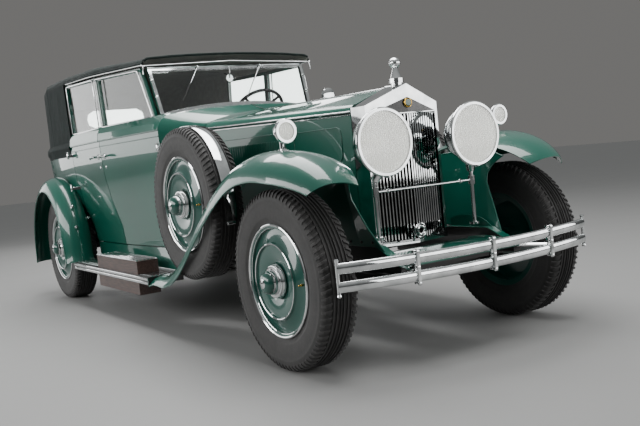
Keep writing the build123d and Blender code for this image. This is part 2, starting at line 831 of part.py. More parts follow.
with BuildPart() as sill_part:
    loft(
        sections=[
            sill_face(pillar_x - 6, 524, 582), sill_face(post_b_x, 555, 644), sill_face(door_rear_x + 50, 550, 638)
        ],
        ruled=True,
    )
sill = sill_part.part
step_x = -3296
with BuildPart() as floor_plate:
    with BuildSketch(Plane.XY.offset(564)):
        Polygon(
            (pillar_x - 6, 520), (post_b_x, 560), (step_x - 24, 555), (step_x - 24, -555), (post_b_x, -560),
            (pillar_x - 6, -520), align=None,
        )
    extrude(amount=24)
toe_board = block(hood_rear_x - 34, pillar_x - 8, -390, 390, 564, 588)
riser = block(step_x, step_x - 24, -555, 555, 564, 764)
shelf = block(step_x, -4322, -555, 555, 740, 764)
floor = floor_plate.part + toe_board + riser + shelf + sill + sill.mirror(Plane.XZ)
keep("floor", floor)

# Seats: two benches, each a cushion and a leaning back


def cushion(x1, x2, half_width, z1, z2, corner):
    with BuildPart() as solid:
        with Locations(((x1 + x2) / 2, 0, (z1 + z2) / 2)):
            Box(abs(x2 - x1), 2 * half_width, z2 - z1)
        fillet(solid.edges(), radius=corner)
    return solid.part


def backrest(x, half_width, z1, z2, depth, lean_back, corner):
    solid = cushion(-depth / 2, depth / 2, half_width, 0, z2 - z1, corner)
    return solid.rotate(Axis.Y, -lean_back).translate((x, 0, z1))


front_seat = cushion(-2310, -2840, 490, 592, 860, 45) + backrest(-2830, 490, 700, 1290, 130, 10, 45)
rear_seat = cushion(-3380, -3960, 515, 768, 930, 45) + backrest(-3950, 515, 800, 1380, 150, 12, 50)
keep("seats", front_seat, rear_seat)

# Steering wheel with its shaft, turned about the leaning column
column_lean = 40
wheel_centre = (-2215, 370, 1405)
with BuildPart() as hand_wheel:
    Torus(major_radius=212, minor_radius=13)
    Cylinder(radius=36, height=30)
    for angle in (45, 135, 225, 315):
        with Locations(Rotation(0, 0, angle)):
            with Locations((110, 0, 0)):
                Box(190, 22, 8)
    with Locations((0, 0, -450)):
        Cylinder(radius=16, height=880)
steering = hand_wheel.part.rotate(Axis.Y, -(90 - column_lean)).translate(wheel_centre)
keep("steering_wheel", steering)

# Lamps: two headlamps joined by a tie bar, and two small fender lamps
lamp_x = 267
lamp_y = 297
lamp_z = 1067
lamp_post_y = 322


def lamp_cup(radius, length, wall, at):
    """A round cup with its rim at the front, turned about X, and the lens that closes it."""
    back = -length
    with BuildPart() as cup:
        with BuildSketch(Plane.XY):
            with BuildLine():
                Line((back, 0.001), (back, radius * 0.25))
                ThreePointArc((back, radius * 0.25), (-length * 0.52, radius * 0.78), (-14, radius - 5))
                Line((-14, radius - 5), (-14, radius + 2))
                ThreePointArc((-14, radius + 2), (-3, radius + 6), (6, radius))
                Line((6, radius), (6, radius - 12))
                Line((6, radius - 12), (-14, radius - 5 - wall))
                ThreePointArc(
                    (-14, radius - 5 - wall), (-length * 0.5, radius * 0.76 - wall), (back + wall, radius * 0.2)
                )
                Line((back + wall, radius * 0.2), (back + wall, 0.001))
                Line((back + wall, 0.001), (back, 0.001))
            make_face()
        revolve(axis=Axis.X)
    with BuildPart() as lens:
        with BuildSketch(Plane.XY):
            with BuildLine():
                Line((-6, 0.001), (-6, radius - 13))
                Line((-6, radius - 13), (-1, radius - 13))
                ThreePointArc((-1, radius - 13), (3, radius * 0.5), (5, 0.001))
                Line((5, 0.001), (-6, 0.001))
            make_face()
        revolve(axis=Axis.X)
    return cup.part.translate(at), lens.part.translate(at)


lenses = []
headlamp_left, lens_left = lamp_cup(165, 186, 5, (lamp_x, lamp_y, lamp_z))
lenses.extend(both_sides(lens_left))
inside = lamp_cup(150, 160, 4, (lamp_x, lamp_y, lamp_z))
post = bar((182, lamp_post_y, 590), (182, lamp_post_y, 905), 11)
foot = bar((182, lamp_post_y, 584), (182, lamp_post_y, 598), 30)
socket = bar((182, lamp_post_y, 800), (182, lamp_post_y, 846), 19)
shade = bar((182, lamp_post_y, 880), (200, lamp_y + 6, 921), 24)
half_lamp = headlamp_left + post + foot + socket + shade
half_lamp = half_lamp - block(150, 240, 250, 400, 939, 960)
tie = bar((182, -lamp_post_y, 823), (182, lamp_post_y, 823), 6)
lamp_set = half_lamp + half_lamp.mirror(Plane.XZ) + tie
for y in (-242, 242):
    with BuildPart() as ball:
        with Locations((182, y, 823)):
            Sphere(radius=12)
    lamp_set = lamp_set + ball.part
fender_cup, fender_lens = lamp_cup(56, 96, 4, (36, 713, 1165))
fender_post = bar((-14, 713, 1080), (-14, 713, 1124), 12)
fender_lamp = fender_cup + fender_post
lenses.extend(both_sides(fender_lens))
keep("lamps", lamp_set, *both_sides(fender_lamp))
keep("lamp_lenses", *lenses)

# Bumpers: two bowed blades with three clamps, end pins and brackets from the frame


def blade(nose_x, end_x, half, z1, z2, depth):
    sign = 1 if nose_x > 0 else -1
    with BuildPart() as strip:
        with BuildSketch(Plane.XY.offset(z1)):
            with BuildLine():
                ThreePointArc((end_x, -half), (nose_x, 0), (end_x, half))
                Line((end_x, half), (end_x - sign * depth, half))
                ThreePointArc(
                    (end_x - sign * depth, half), (nose_x - sign * depth, 0), (end_x - sign * depth, -half)
                )
                Line((end_x - sign * depth, -half), (end_x, -half))
            make_face()
        extrude(amount=z2 - z1)
    return strip.part


def bumper(nose_x, end_x, half, frame_x, frame_y):
    sign = 1 if nose_x > 0 else -1
    solid = blade(nose_x, end_x, half, 508, 558, 12) + blade(nose_x, end_x, half, 425, 475, 12)
    radius = ((nose_x - end_x) ** 2 + half**2) / (2 * abs(nose_x - end_x))
    for y in (-432, 0, 432):
        face_x = nose_x - sign * (radius - math.sqrt(radius**2 - y**2))
        solid = solid + block(face_x + sign * 10, face_x - sign * 26, y - 9, y + 9, 416, 567)
    for side in (1, -1):
        solid = solid + bar((end_x - sign * 6, side * (half - 4), 412), (end_x - sign * 6, side * (half - 4), 571), 9)
        face_x = nose_x - sign * (radius - math.sqrt(radius**2 - 432**2)) - sign * 20
        with BuildPart() as arm:
            with BuildSketch(Plane.XY.offset(462)):
                Polygon(
                    (frame_x, side * (frame_y - 22)), (frame_x, side * (frame_y + 22)),
                    (face_x, side * 441), (face_x, side * 423), align=None,
                )
            extrude(amount=22)
        solid = solid + arm.part
    return solid


front_bumper = bumper(640, 505, 802, 430, 370)
rear_bumper = bumper(-4700, -4580, 790, -4470, 495)
keep("bumpers", front_bumper, rear_bumper)

# Front apron over the frame horns, and the inner panels between frame and fenders
with BuildPart() as apron_part:
    with BuildSketch(Plane.XZ):
        with BuildLine():
            ThreePointArc((470, 480), (290, 514), (100, 504))
            Line((100, 504), (100, 498))
            ThreePointArc((100, 498), (290, 508), (468, 474))
            Line((468, 474), (470, 480))
        make_face()
    extrude(amount=343, both=True)
apron = apron_part.part
panel_rows = (
    (320, (529, 898), (386, 528)),
    (250, (514, 931), (398, 562)),
    (120, (486, 992), (398, 562)),
    (-330, (472, 958), (398, 562)),
    (-860, (483, 640), (398, 562)),
)


def panel_face(x, high, low):
    with BuildSketch(Plane.YZ.offset(x)) as section:
        Polygon(low, (high[0], high[1]), (high[0] - 5, high[1]), (low[0] - 5, low[1] + 4), align=None)
    return section.sketch


with BuildPart() as inner_panel:
    loft(sections=[panel_face(*row) for row in panel_rows], ruled=True)
with BuildPart() as panel_side:
    with BuildSketch(Plane.XZ):
        Polygon(
            (-900, 400), (330, 400), (307, 530), (228, 663), (158, 800), (160, 850), (190, 896), (262, 945), (262, 1050),
            (-900, 1050), align=None,
        )
    extrude(amount=700, both=True)
panel = inner_panel.part & panel_side.part

# Upright valance on each frame horn, arched under the foot of the lamp post
with BuildPart() as valance_part:
    with BuildSketch(Plane.XZ):
        with BuildLine():
            Polyline((262, 556), (248, frame_top_z + 1), (-70, frame_top_z + 1), (-70, 606))
            ThreePointArc((-70, 606), (20, 626), (120, 622))
            ThreePointArc((120, 622), (205, 599), (262, 556))
        make_face()
    extrude(amount=2.5, both=True)
valance = valance_part.part.translate((0, 374, 0))
keep("front_apron", apron, *both_sides(panel), *both_sides(valance))

# Tail lamps and blank number plate on a bar behind the tank
tail = block(-4472, -4490, -400, 400, 540, 562)
plate_hole_gap = 180
plate = block(-4490, -4496, -255, 255, 500, 620)
for side in (1, -1):
    plate = plate - bar((-4480, side * plate_hole_gap / 2, 605), (-4510, side * plate_hole_gap / 2, 605), 3.5)
tail = tail + plate
for side in (1, -1):
    tail = tail + bar((-4472, side * 400, 575), (-4528, side * 400, 575), 52)
keep("tail_lamps", tail)

os.makedirs("parts", exist_ok=True)
for name, piece in parts.items():
    moved = piece.translate((shift_x, 0, 0))
    moved.label = name
    export_step(moved, f"parts/{name}.step")
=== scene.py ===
import json
import math

import bmesh
import bpy
from mathutils import Matrix, Vector


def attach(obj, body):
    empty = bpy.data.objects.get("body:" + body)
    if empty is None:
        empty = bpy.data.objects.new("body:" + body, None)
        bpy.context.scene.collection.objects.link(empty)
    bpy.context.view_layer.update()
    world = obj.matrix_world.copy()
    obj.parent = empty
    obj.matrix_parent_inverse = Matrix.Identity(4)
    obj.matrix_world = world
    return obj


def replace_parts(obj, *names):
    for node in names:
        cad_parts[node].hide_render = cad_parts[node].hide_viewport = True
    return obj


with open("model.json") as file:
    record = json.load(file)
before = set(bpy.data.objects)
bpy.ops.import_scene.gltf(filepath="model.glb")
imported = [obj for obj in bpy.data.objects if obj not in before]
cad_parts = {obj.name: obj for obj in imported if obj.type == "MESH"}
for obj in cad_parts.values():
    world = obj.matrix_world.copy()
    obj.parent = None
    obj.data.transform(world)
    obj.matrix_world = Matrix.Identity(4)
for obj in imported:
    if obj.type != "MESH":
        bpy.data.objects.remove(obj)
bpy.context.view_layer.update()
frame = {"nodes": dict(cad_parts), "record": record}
nodes = frame["nodes"]

# Stations are measured from the front axle, in millimetres
joints = frame["record"]["behaviour"]["joints"]
axleX = next(joint["pos_m"][0] for joint in joints if joint["name"] == "spin_front_left")
axles = {"wheelbase": 3840, "height": 446, "halfTrack": 742}


def at(x, y, z):
    return Vector((x / 1000 + axleX, y / 1000, z / 1000))


def both():
    return (("left", 1), ("right", -1))


# Camera first: a low three-quarter view from the right front corner, placed in metres from the front axle
view = {
    "lens": 46.31, "sensor": 36.0, "place": (3.487, -2.734, 1.038), "yawPitchRoll": (147.85, -4.06, -5.64),
}
camera = bpy.data.objects.new("camera", bpy.data.cameras.new("camera"))
bpy.context.collection.objects.link(camera)
bpy.context.scene.camera = camera
camera.data.lens = view["lens"]
camera.data.sensor_width = view["sensor"]
yaw, pitch, roll = (math.radians(v) for v in view["yawPitchRoll"])
forward = Vector((math.cos(yaw) * math.cos(pitch), math.sin(yaw) * math.cos(pitch), math.sin(pitch)))
level = Vector((math.sin(yaw), -math.cos(yaw), 0))
upright = level.cross(forward)
right = level * math.cos(roll) + upright * math.sin(roll)
upward = upright * math.cos(roll) - level * math.sin(roll)
turn = Matrix((right, upward, -forward)).transposed().to_4x4()
camera.matrix_world = Matrix.Translation(Vector(view["place"]) + Vector((axleX, 0, 0))) @ turn


def linear(code):
    values = [int(code[i:i + 2], 16) / 255 for i in (1, 3, 5)]
    return tuple(v / 12.92 if v <= 0.04045 else ((v + 0.055) / 1.055) ** 2.4 for v in values) + (1.0,)


def addNode(material, kind, settings=(), inputs=(), links=()):
    node = material.node_tree.nodes.new(kind)
    for key, value in dict(settings).items():
        setattr(node, key, value)
    for key, value in dict(inputs).items():
        node.inputs[key].default_value = value
    for key, source in dict(links).items():
        material.node_tree.links.new(source, node.inputs[key])
    return node


def newMaterial(name, colour, rough=0.5, **extra):
    material = bpy.data.materials.new(name)
    material.use_nodes = True
    shader = material.node_tree.nodes["Principled BSDF"]
    shader.inputs["Base Color"].default_value = linear(colour)
    shader.inputs["Roughness"].default_value = rough
    for key, value in extra.items():
        shader.inputs[key.replace("_", " ")].default_value = value
    return material, shader


# Mottling fixed to the piece: patches are about 1000 mm across divided by the scale
def objectNoise(material, scale, detail=4.0, stretch=(1, 1, 1)):
    place = addNode(material, "ShaderNodeTexCoord")
    scaled = addNode(
        material, "ShaderNodeMapping", inputs={"Scale": stretch}, links={"Vector": place.outputs["Object"]},
    )
    return addNode(
        material, "ShaderNodeTexNoise", inputs={"Scale": scale, "Detail": detail},
        links={"Vector": scaled.outputs["Vector"]},
    )


def varyColour(material, shader, source, dark, light, low=0.35, high=0.65):
    ramp = addNode(material, "ShaderNodeValToRGB", links={"Fac": source})
    ramp.color_ramp.elements[0].position = low
    ramp.color_ramp.elements[0].color = linear(dark)
    ramp.color_ramp.elements[1].position = high
    ramp.color_ramp.elements[1].color = linear(light)
    material.node_tree.links.new(ramp.outputs["Color"], shader.inputs["Base Color"])


def varyRough(material, shader, source, low, high):
    spread = addNode(
        material, "ShaderNodeMapRange", inputs={"To Min": low, "To Max": high}, links={"Value": source},
    )
    material.node_tree.links.new(spread.outputs["Result"], shader.inputs["Roughness"])


def addBump(material, shader, source, strength, distance):
    bump = addNode(
        material, "ShaderNodeBump", inputs={"Strength": strength, "Distance": distance},
        links={"Height": source},
    )
    material.node_tree.links.new(bump.outputs["Normal"], shader.inputs["Normal"])


# Each finish varies between a darker and a lighter colour
colours = {
    "body": ("#00483a", "#005142"), "wheels": ("#033f36", "#04473c"), "chassis": ("#0a0a0a", "#171614"),
    "chromium": ("#c3c6c6", "#e6e8e8"), "brass": ("#9a7a35", "#c9a552"), "iron": ("#2a302d", "#454c48"),
    "rubber": ("#131211", "#201e1d"), "top": ("#0f1716", "#172220"), "lining": ("#a3a19b", "#b1afa9"),
    "carpet": ("#141d1a", "#1f2a26"), "hide": ("#1a2b25", "#2a4137"), "wood": ("#2b1c18", "#4a342d"),
    "enamel": ("#cfcec6", "#dedcd5"),
}


# Brushed and rubbed coach paint under varnish: deep green, mirror-like, with ripples about 40 mm long
def coachPaint(name, dark, light):
    material, shader = newMaterial(
        name, dark, 0.3, Coat_Weight=1.0, Coat_Roughness=0.02, Specular_IOR_Level=0.3,
    )
    varyColour(material, shader, objectNoise(material, 1.2, 2.0).outputs["Fac"], dark, light)
    varyRough(material, shader, objectNoise(material, 5.0).outputs["Fac"], 0.26, 0.34)
    addBump(material, shader, objectNoise(material, 26.0, 1.0).outputs["Fac"], 0.03, 0.0003)
    return material


bodyPaint = coachPaint("green_coach_paint", *colours["body"])
wheelPaint = coachPaint("green_wheel_paint", *colours["wheels"])

# Stoved black enamel of the frame: dulled unevenly, in patches of 30 to 55 mm
blackPaint, blackShader = newMaterial("black_chassis_paint", "#0c0d0d", 0.4, Coat_Weight=0.3)
varyRough(blackPaint, blackShader, objectNoise(blackPaint, 18.0).outputs["Fac"], 0.3, 0.55)
varyColour(blackPaint, blackShader, objectNoise(blackPaint, 30.0).outputs["Fac"], *colours["chassis"])


# Chromium plate over brass: bright, with the faint haze of polishing in patches about 35 mm across
def plated(name, dark, light, rough=0.05):
    material, shader = newMaterial(name, light, rough, Metallic=1.0)
    varyColour(material, shader, objectNoise(material, 12.0).outputs["Fac"], dark, light)
    varyRough(material, shader, objectNoise(material, 30.0, 2.0).outputs["Fac"], rough * 0.6, rough * 1.6)
    return material


chrome = plated("chromium_plate", *colours["chromium"])
brass = plated("gilt_brass", *colours["brass"], 0.14)

# Sand-cast iron under engine paint: mottled, its grain drawn 4 to 5 mm coarse so that it shows
iron, ironShader = newMaterial("painted_cast_iron", "#39403d", 0.6)
addBump(iron, ironShader, objectNoise(iron, 220.0).outputs["Fac"], 0.35, 0.0008)
varyColour(iron, ironShader, objectNoise(iron, 9.0).outputs["Fac"], *colours["iron"])

# Moulded tyre rubber: dull, a little brown, with a fine grain of about 1.5 mm
rubber, rubberShader = newMaterial("tyre_rubber", "#171615", 0.72, Sheen_Weight=0.12, Sheen_Roughness=0.6)
varyColour(rubber, rubberShader, objectNoise(rubber, 14.0).outputs["Fac"], *colours["rubber"])
varyRough(rubber, rubberShader, objectNoise(rubber, 60.0).outputs["Fac"], 0.58, 0.82)
addBump(rubber, rubberShader, objectNoise(rubber, 700.0, 2.0).outputs["Fac"], 0.25, 0.0004)

# Rolled plate glass: clear and a little wavy
glass, glassShader = newMaterial("plate_glass", "#f2f7f5", 0.0, Transmission_Weight=1.0, IOR=1.45)
addBump(glass, glassShader, objectNoise(glass, 4.0, 1.0).outputs["Fac"], 0.02, 0.0006)

# Pressed lamp glass: upright ribs 12 mm apart, and a faint glow that stands for the light its bowl gathers
lensGlass, lensShader = newMaterial(
    "ribbed_lamp_glass", "#f8faf7", 0.12, Transmission_Weight=0.75, IOR=1.46,
    Emission_Color=linear("#fbfaf4"), Emission_Strength=0.2,
)
lensWave = addNode(
    lensGlass, "ShaderNodeTexWave", settings={"bands_direction": "Y"}, inputs={"Scale": 26.0},
    links={"Vector": addNode(lensGlass, "ShaderNodeTexCoord").outputs["Object"]},
)
addBump(lensGlass, lensShader, lensWave.outputs["Fac"], 0.6, 0.003)

# Pressed red glass: pebbled about 8 mm coarse
redGlass, redShader = newMaterial("red_lamp_glass", "#7a0a08", 0.1, Transmission_Weight=0.5)
addBump(redGlass, redShader, objectNoise(redGlass, 120.0).outputs["Fac"], 0.2, 0.0006)


# Woven cloth: crossed threads, soft sheen; a scale of 420 puts the threads 0.75 mm apart, 500 0.6, 260 1.2
def woven(name, dark, light, threads, depth):
    material, shader = newMaterial(
        name, dark, 0.9, Sheen_Weight=0.06, Sheen_Roughness=0.5, Specular_IOR_Level=0.15,
    )
    place = addNode(material, "ShaderNodeTexCoord")
    heights = []
    for direction in ("X", "DIAGONAL"):
        wave = addNode(
            material, "ShaderNodeTexWave", settings={"bands_direction": direction},
            inputs={"Scale": threads, "Distortion": 0.4}, links={"Vector": place.outputs["Object"]},
        )
        heights.append(wave.outputs["Fac"])
    crossed = addNode(
        material, "ShaderNodeMath", settings={"operation": "ADD"}, links={0: heights[0], 1: heights[1]},
    )
    addBump(material, shader, crossed.outputs["Value"], 0.5, depth)
    varyColour(material, shader, objectNoise(material, 22.0, 6.0).outputs["Fac"], dark, light)
    return material


topCloth = woven("mohair_top_cloth", *colours["top"], 420.0, 0.0006)
topLining = woven("grey_headlining_cloth", *colours["lining"], 500.0, 0.0004)
carpet = woven("wool_carpet", *colours["carpet"], 260.0, 0.0012)

# Tanned hide: pebbled grain drawn 3 mm coarse so that it shows, and a soft polish worn in patches
leather, leatherShader = newMaterial("seat_leather", "#20342c", 0.42, Coat_Weight=0.12, Coat_Roughness=0.3)
grain = addNode(
    leather, "ShaderNodeTexVoronoi", inputs={"Scale": 320.0},
    links={"Vector": addNode(leather, "ShaderNodeTexCoord").outputs["Object"]},
)
addBump(leather, leatherShader, grain.outputs["Distance"], 0.35, 0.0008)
varyColour(leather, leatherShader, objectNoise(leather, 7.0).outputs["Fac"], *colours["hide"])
varyRough(leather, leatherShader, objectNoise(leather, 30.0).outputs["Fac"], 0.32, 0.55)

# Stained ash: satin, with grain lines about 8 mm apart drawn out along the car
wood, woodShader = newMaterial("stained_ash", "#3a2823", 0.5, Coat_Weight=0.25)
woodGrain = objectNoise(wood, 9.0, 8.0, stretch=(1, 14, 14))
varyColour(wood, woodShader, woodGrain.outputs["Fac"], *colours["wood"])
addBump(wood, woodShader, woodGrain.outputs["Fac"], 0.2, 0.0005)

# Rubber matting of the boards and pedals: matt, scuffed in patches of 40 mm
mat, matShader = newMaterial("ribbed_rubber_mat", "#111413", 0.6)
varyRough(mat, matShader, objectNoise(mat, 25.0).outputs["Fac"], 0.45, 0.7)

# Moulded bakelite: deep black with a hand polish
bakelite, bakeliteShader = newMaterial("black_bakelite", "#0b0b0b", 0.22, Coat_Weight=0.5)
varyRough(bakelite, bakeliteShader, objectNoise(bakelite, 15.0).outputs["Fac"], 0.16, 0.3)

# Vitreous enamel of the dials and the blank plate: glossy, pale and slightly yellowed
plateWhite, plateShader = newMaterial("pale_enamel", "#d9d8d0", 0.3, Coat_Weight=0.3)
varyColour(plateWhite, plateShader, objectNoise(plateWhite, 10.0).outputs["Fac"], *colours["enamel"])

bySlot = {
    "body_paint": bodyPaint, "wheel_paint": wheelPaint, "tyre": rubber, "glass": glass, "chrome": chrome,
    "chassis_black": blackPaint, "engine_iron": iron, "top_cloth": topCloth, "seat_leather": leather,
    "wheel_rim": bakelite, "step_wood": wood,
}
slotOf = {row["node"]: row["material_slot"] for row in frame["record"]["subparts"]}


def dress(node, material):
    node.data.materials.clear()
    node.data.materials.append(material)


for name, node in nodes.items():
    dress(node, bySlot[slotOf[name]])
    for polygon in node.data.polygons:
        polygon.use_smooth = True
dress(nodes["lamp_lenses"], lensGlass)
print("camera and materials ready for", len(nodes), "CAD nodes")


# A shape is a list of corners and a list of faces, in millimetres from the front axle
def newShape():
    return {"corners": [], "faces": []}


def grow(shape, corners, faces):
    base = len(shape["corners"])
    shape["corners"] += [tuple(c) for c in corners]
    shape["faces"] += [tuple(i + base for i in face) for face in faces]
    return shape


def gridFaces(rows, columns, closeRows=False, closeColumns=False):
    faces = []
    for r in range(rows if closeRows else rows - 1):
        for c in range(columns if closeColumns else columns - 1):
            r2, c2 = (r + 1) % rows, (c + 1) % columns
            faces.append((r * columns + c, r * columns + c2, r2 * columns + c2, r2 * columns + c))
    return faces


# A closed outline of (across, radius) pairs turned about an axle along Y
def turned(shape, outline, centre, side=1, steps=72, closed=True):
    corners = []
    for k in range(steps):
        a = math.tau * k / steps
        for across, radius in outline:
            corners.append((
                centre[0] + radius * math.cos(a), centre[1] + side * across, centre[2] + radius * math.sin(a),
            ))
    return grow(shape, corners, gridFaces(steps, len(outline), True, closed))


def ringOn(shape, centre, side, across, radius, thick, steps=72, sides=8):
    outline = [(across + u, radius + v) for u, v in roundSection(thick, sides)]
    return turned(shape, outline, centre, side, steps)


# A section of (sideways, up) pairs carried along a line of points
def carried(shape, points, section, up=(0, 0, 1), closed=False, capped=True):
    line = [Vector(p) for p in points]
    rows = []
    for k, p in enumerate(line):
        before = line[k - 1] if k or closed else p
        after = line[(k + 1) % len(line)] if k < len(line) - 1 or closed else p
        ahead = (after - before).normalized()
        guide = Vector(up[k]) if isinstance(up, list) else Vector(up)
        across = ahead.cross(guide).normalized()
        above = across.cross(ahead).normalized()
        rows += [tuple(p + across * u + above * v) for u, v in section]
    faces = gridFaces(len(line), len(section), closed, True)
    if capped and not closed:
        faces.append(tuple(range(len(section)))[::-1])
        faces.append(tuple(range(len(rows) - len(section), len(rows))))
    return grow(shape, rows, faces)


def roundSection(radius, sides=8, flat=1.0):
    turns = [math.tau * k / sides for k in range(sides)]
    return [(radius * math.cos(a), radius * flat * math.sin(a)) for a in turns]


def stripSection(width, height, round=0.35):
    w, h, c = width / 2, height / 2, min(width, height) * round
    right = [(w, h - c), (w - c, h)]
    left = [(c - w, h), (-w, h - c), (-w, c - h), (c - w, -h)]
    return right + left + [(w - c, -h), (w, c - h)]


def rod(shape, points, radius, sides=10, closed=False, up=(0, 0.01, 1)):
    return carried(shape, points, roundSection(radius, sides), up, closed)


def strip(shape, points, width, height, up=(0, 0, 1), closed=False):
    return carried(shape, points, stripSection(width, height), up, closed)


# A box with its edges cut back by a chamfer
def bevelled(shape, low, high, cut=2.0):
    x1, y1, z1 = (min(a, b) for a, b in zip(low, high))
    x2, y2, z2 = (max(a, b) for a, b in zip(low, high))
    form = bmesh.new()
    bmesh.ops.create_cube(form, size=1)
    for v in form.verts:
        v.co = Vector((
            x1 + (v.co.x + 0.5) * (x2 - x1), y1 + (v.co.y + 0.5) * (y2 - y1), z1 + (v.co.z + 0.5) * (z2 - z1),
        ))
    size = min(cut, (x2 - x1) * 0.45, (y2 - y1) * 0.45, (z2 - z1) * 0.45)
    bmesh.ops.bevel(form, geom=list(form.edges), offset=size, segments=2, affect="EDGES", profile=0.6)
    form.verts.index_update()
    corners = [tuple(v.co) for v in form.verts]
    faces = [tuple(v.index for v in f.verts) for f in form.faces]
    form.free()
    return grow(shape, corners, faces)


# A round form of (along, radius) pairs about any line
def lathed(shape, start, direction, outline, steps=24):
    ahead = Vector(direction).normalized()
    guide = Vector((0, 0, 1)) if abs(ahead.z) < 0.9 else Vector((1, 0, 0))
    u = ahead.cross(guide).normalized()
    v = ahead.cross(u).normalized()
    corners = []
    for along, radius in outline:
        for k in range(steps):
            a = math.tau * k / steps
            outward = u * math.cos(a) + v * math.sin(a)
            corners.append(tuple(Vector(start) + ahead * along + outward * max(radius, 0.01)))
    faces = gridFaces(len(outline), steps, False, True)
    faces.append(tuple(range(steps)))
    faces.append(tuple(range(len(corners) - steps, len(corners)))[::-1])
    return grow(shape, corners, faces)


# A closed outline of (ahead, radius) pairs turned about a line along X
def turnedAhead(shape, outline, centre, steps):
    x, y, z = centre
    corners = []
    for ahead, radius in outline:
        for u, v in roundSection(radius, steps):
            corners.append((x + ahead, y + u, z + v))
    return grow(shape, corners, gridFaces(len(outline), steps, True, True))


# The other hand of a shape, moved ahead of the first if asked
def flipped(shape, ahead=0):
    corners = [(x + ahead, -y, z) for x, y, z in shape["corners"]]
    return {"corners": corners, "faces": [face[::-1] for face in shape["faces"]]}


def mirrored(points):
    return [(x, -y, z) for x, y, z in points]


# A smooth line through a few points
def smoothLine(points, steps=8):
    line = []
    ring = [Vector(p) for p in points]
    for k in range(len(ring) - 1):
        a, b = ring[max(k - 1, 0)], ring[k]
        c, d = ring[k + 1], ring[min(k + 2, len(ring) - 1)]
        for s in range(steps):
            t = s / steps
            bend = (2 * a - 5 * b + 4 * c - d) * t * t + (3 * b - a - 3 * c + d) * t ** 3
            line.append(0.5 * ((2 * b) + (c - a) * t + bend))
    line.append(ring[-1])
    return line


def faceOutward(mesh, weld=0):
    form = bmesh.new()
    form.from_mesh(mesh)
    if weld:
        bmesh.ops.remove_doubles(form, verts=form.verts, dist=weld)
    bmesh.ops.recalc_face_normals(form, faces=form.faces)
    form.to_mesh(mesh)
    form.free()


# Smooth shading but for edges sharper than an angle, and the piece hung on its body
def settle(name, mesh, body, sharp):
    for polygon in mesh.polygons:
        polygon.use_smooth = True
    mesh.set_sharp_from_angle(angle=math.radians(sharp))
    piece = bpy.data.objects.new(name, mesh)
    bpy.context.collection.objects.link(piece)
    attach(piece, body)
    return piece


def addPiece(name, shape, body, material, sharp=35, outward=True):
    mesh = bpy.data.meshes.new(name)
    mesh.from_pydata([tuple(at(*c)) for c in shape["corners"]], [], shape["faces"])
    if outward:
        faceOutward(mesh)
    mesh.materials.append(material)
    return settle(name, mesh, body, sharp)


# Painted panels as one welded skin each, so that light runs on over their seams and real edges stay sharp
panels = {
    "bodies": {
        "door_front_left": "front_left_door", "door_front_right": "front_right_door",
        "door_rear_left": "rear_left_door", "door_rear_right": "rear_right_door", "rear_tub": "body",
        "cowl": "body",
    },
    "weldWithin": 0.000001, "sharpFrom": 22,
}
for name, body in panels["bodies"].items():
    mesh = nodes[name].data.copy()
    form = bmesh.new()
    form.from_mesh(mesh)
    bmesh.ops.remove_doubles(form, verts=form.verts, dist=panels["weldWithin"])
    form.to_mesh(mesh)
    form.free()
    if "custom_normal" in mesh.attributes:
        mesh.attributes.remove(mesh.attributes["custom_normal"])
    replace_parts(settle(name + "_panel", mesh, body, panels["sharpFrom"]), name)
print("painted panels welded")


# One node group makes every row or ring of copies: each copy is turned and moved a step on from the last
def copiesGroup():
    group = bpy.data.node_groups.new("row_of_copies", "GeometryNodeTree")
    face = group.interface
    kinds = (
        ("Geometry", "NodeSocketGeometry"), ("Count", "NodeSocketInt"),
        ("Turn per copy", "NodeSocketVector"),
        ("Move per copy", "NodeSocketVector"), ("Material", "NodeSocketMaterial"),
    )
    names = {}
    for label, kind in kinds:
        names[label] = face.new_socket(label, in_out="INPUT", socket_type=kind).identifier
    face.new_socket("Geometry", in_out="OUTPUT", socket_type="NodeSocketGeometry")
    make = group.nodes.new
    link = group.links.new
    source, result = make("NodeGroupInput"), make("NodeGroupOutput")
    points, index = make("GeometryNodePoints"), make("GeometryNodeInputIndex")
    turns, moves = make("ShaderNodeVectorMath"), make("ShaderNodeVectorMath")
    placed, copies = make("GeometryNodeSetPosition"), make("GeometryNodeInstanceOnPoints")
    real, finish = make("GeometryNodeRealizeInstances"), make("GeometryNodeSetMaterial")
    for node, label in ((turns, "Turn per copy"), (moves, "Move per copy")):
        node.operation = "SCALE"
        link(source.outputs[label], node.inputs[0])
        link(index.outputs[0], node.inputs["Scale"])
    link(source.outputs["Count"], points.inputs["Count"])
    link(points.outputs[0], placed.inputs["Geometry"])
    link(moves.outputs[0], placed.inputs["Offset"])
    link(placed.outputs[0], copies.inputs["Points"])
    link(source.outputs["Geometry"], copies.inputs["Instance"])
    link(turns.outputs[0], copies.inputs["Rotation"])
    link(copies.outputs[0], real.inputs[0])
    link(real.outputs[0], finish.inputs["Geometry"])
    link(source.outputs["Material"], finish.inputs["Material"])
    link(finish.outputs[0], result.inputs[0])
    return group, names


copyGroup, copyInputs = copiesGroup()


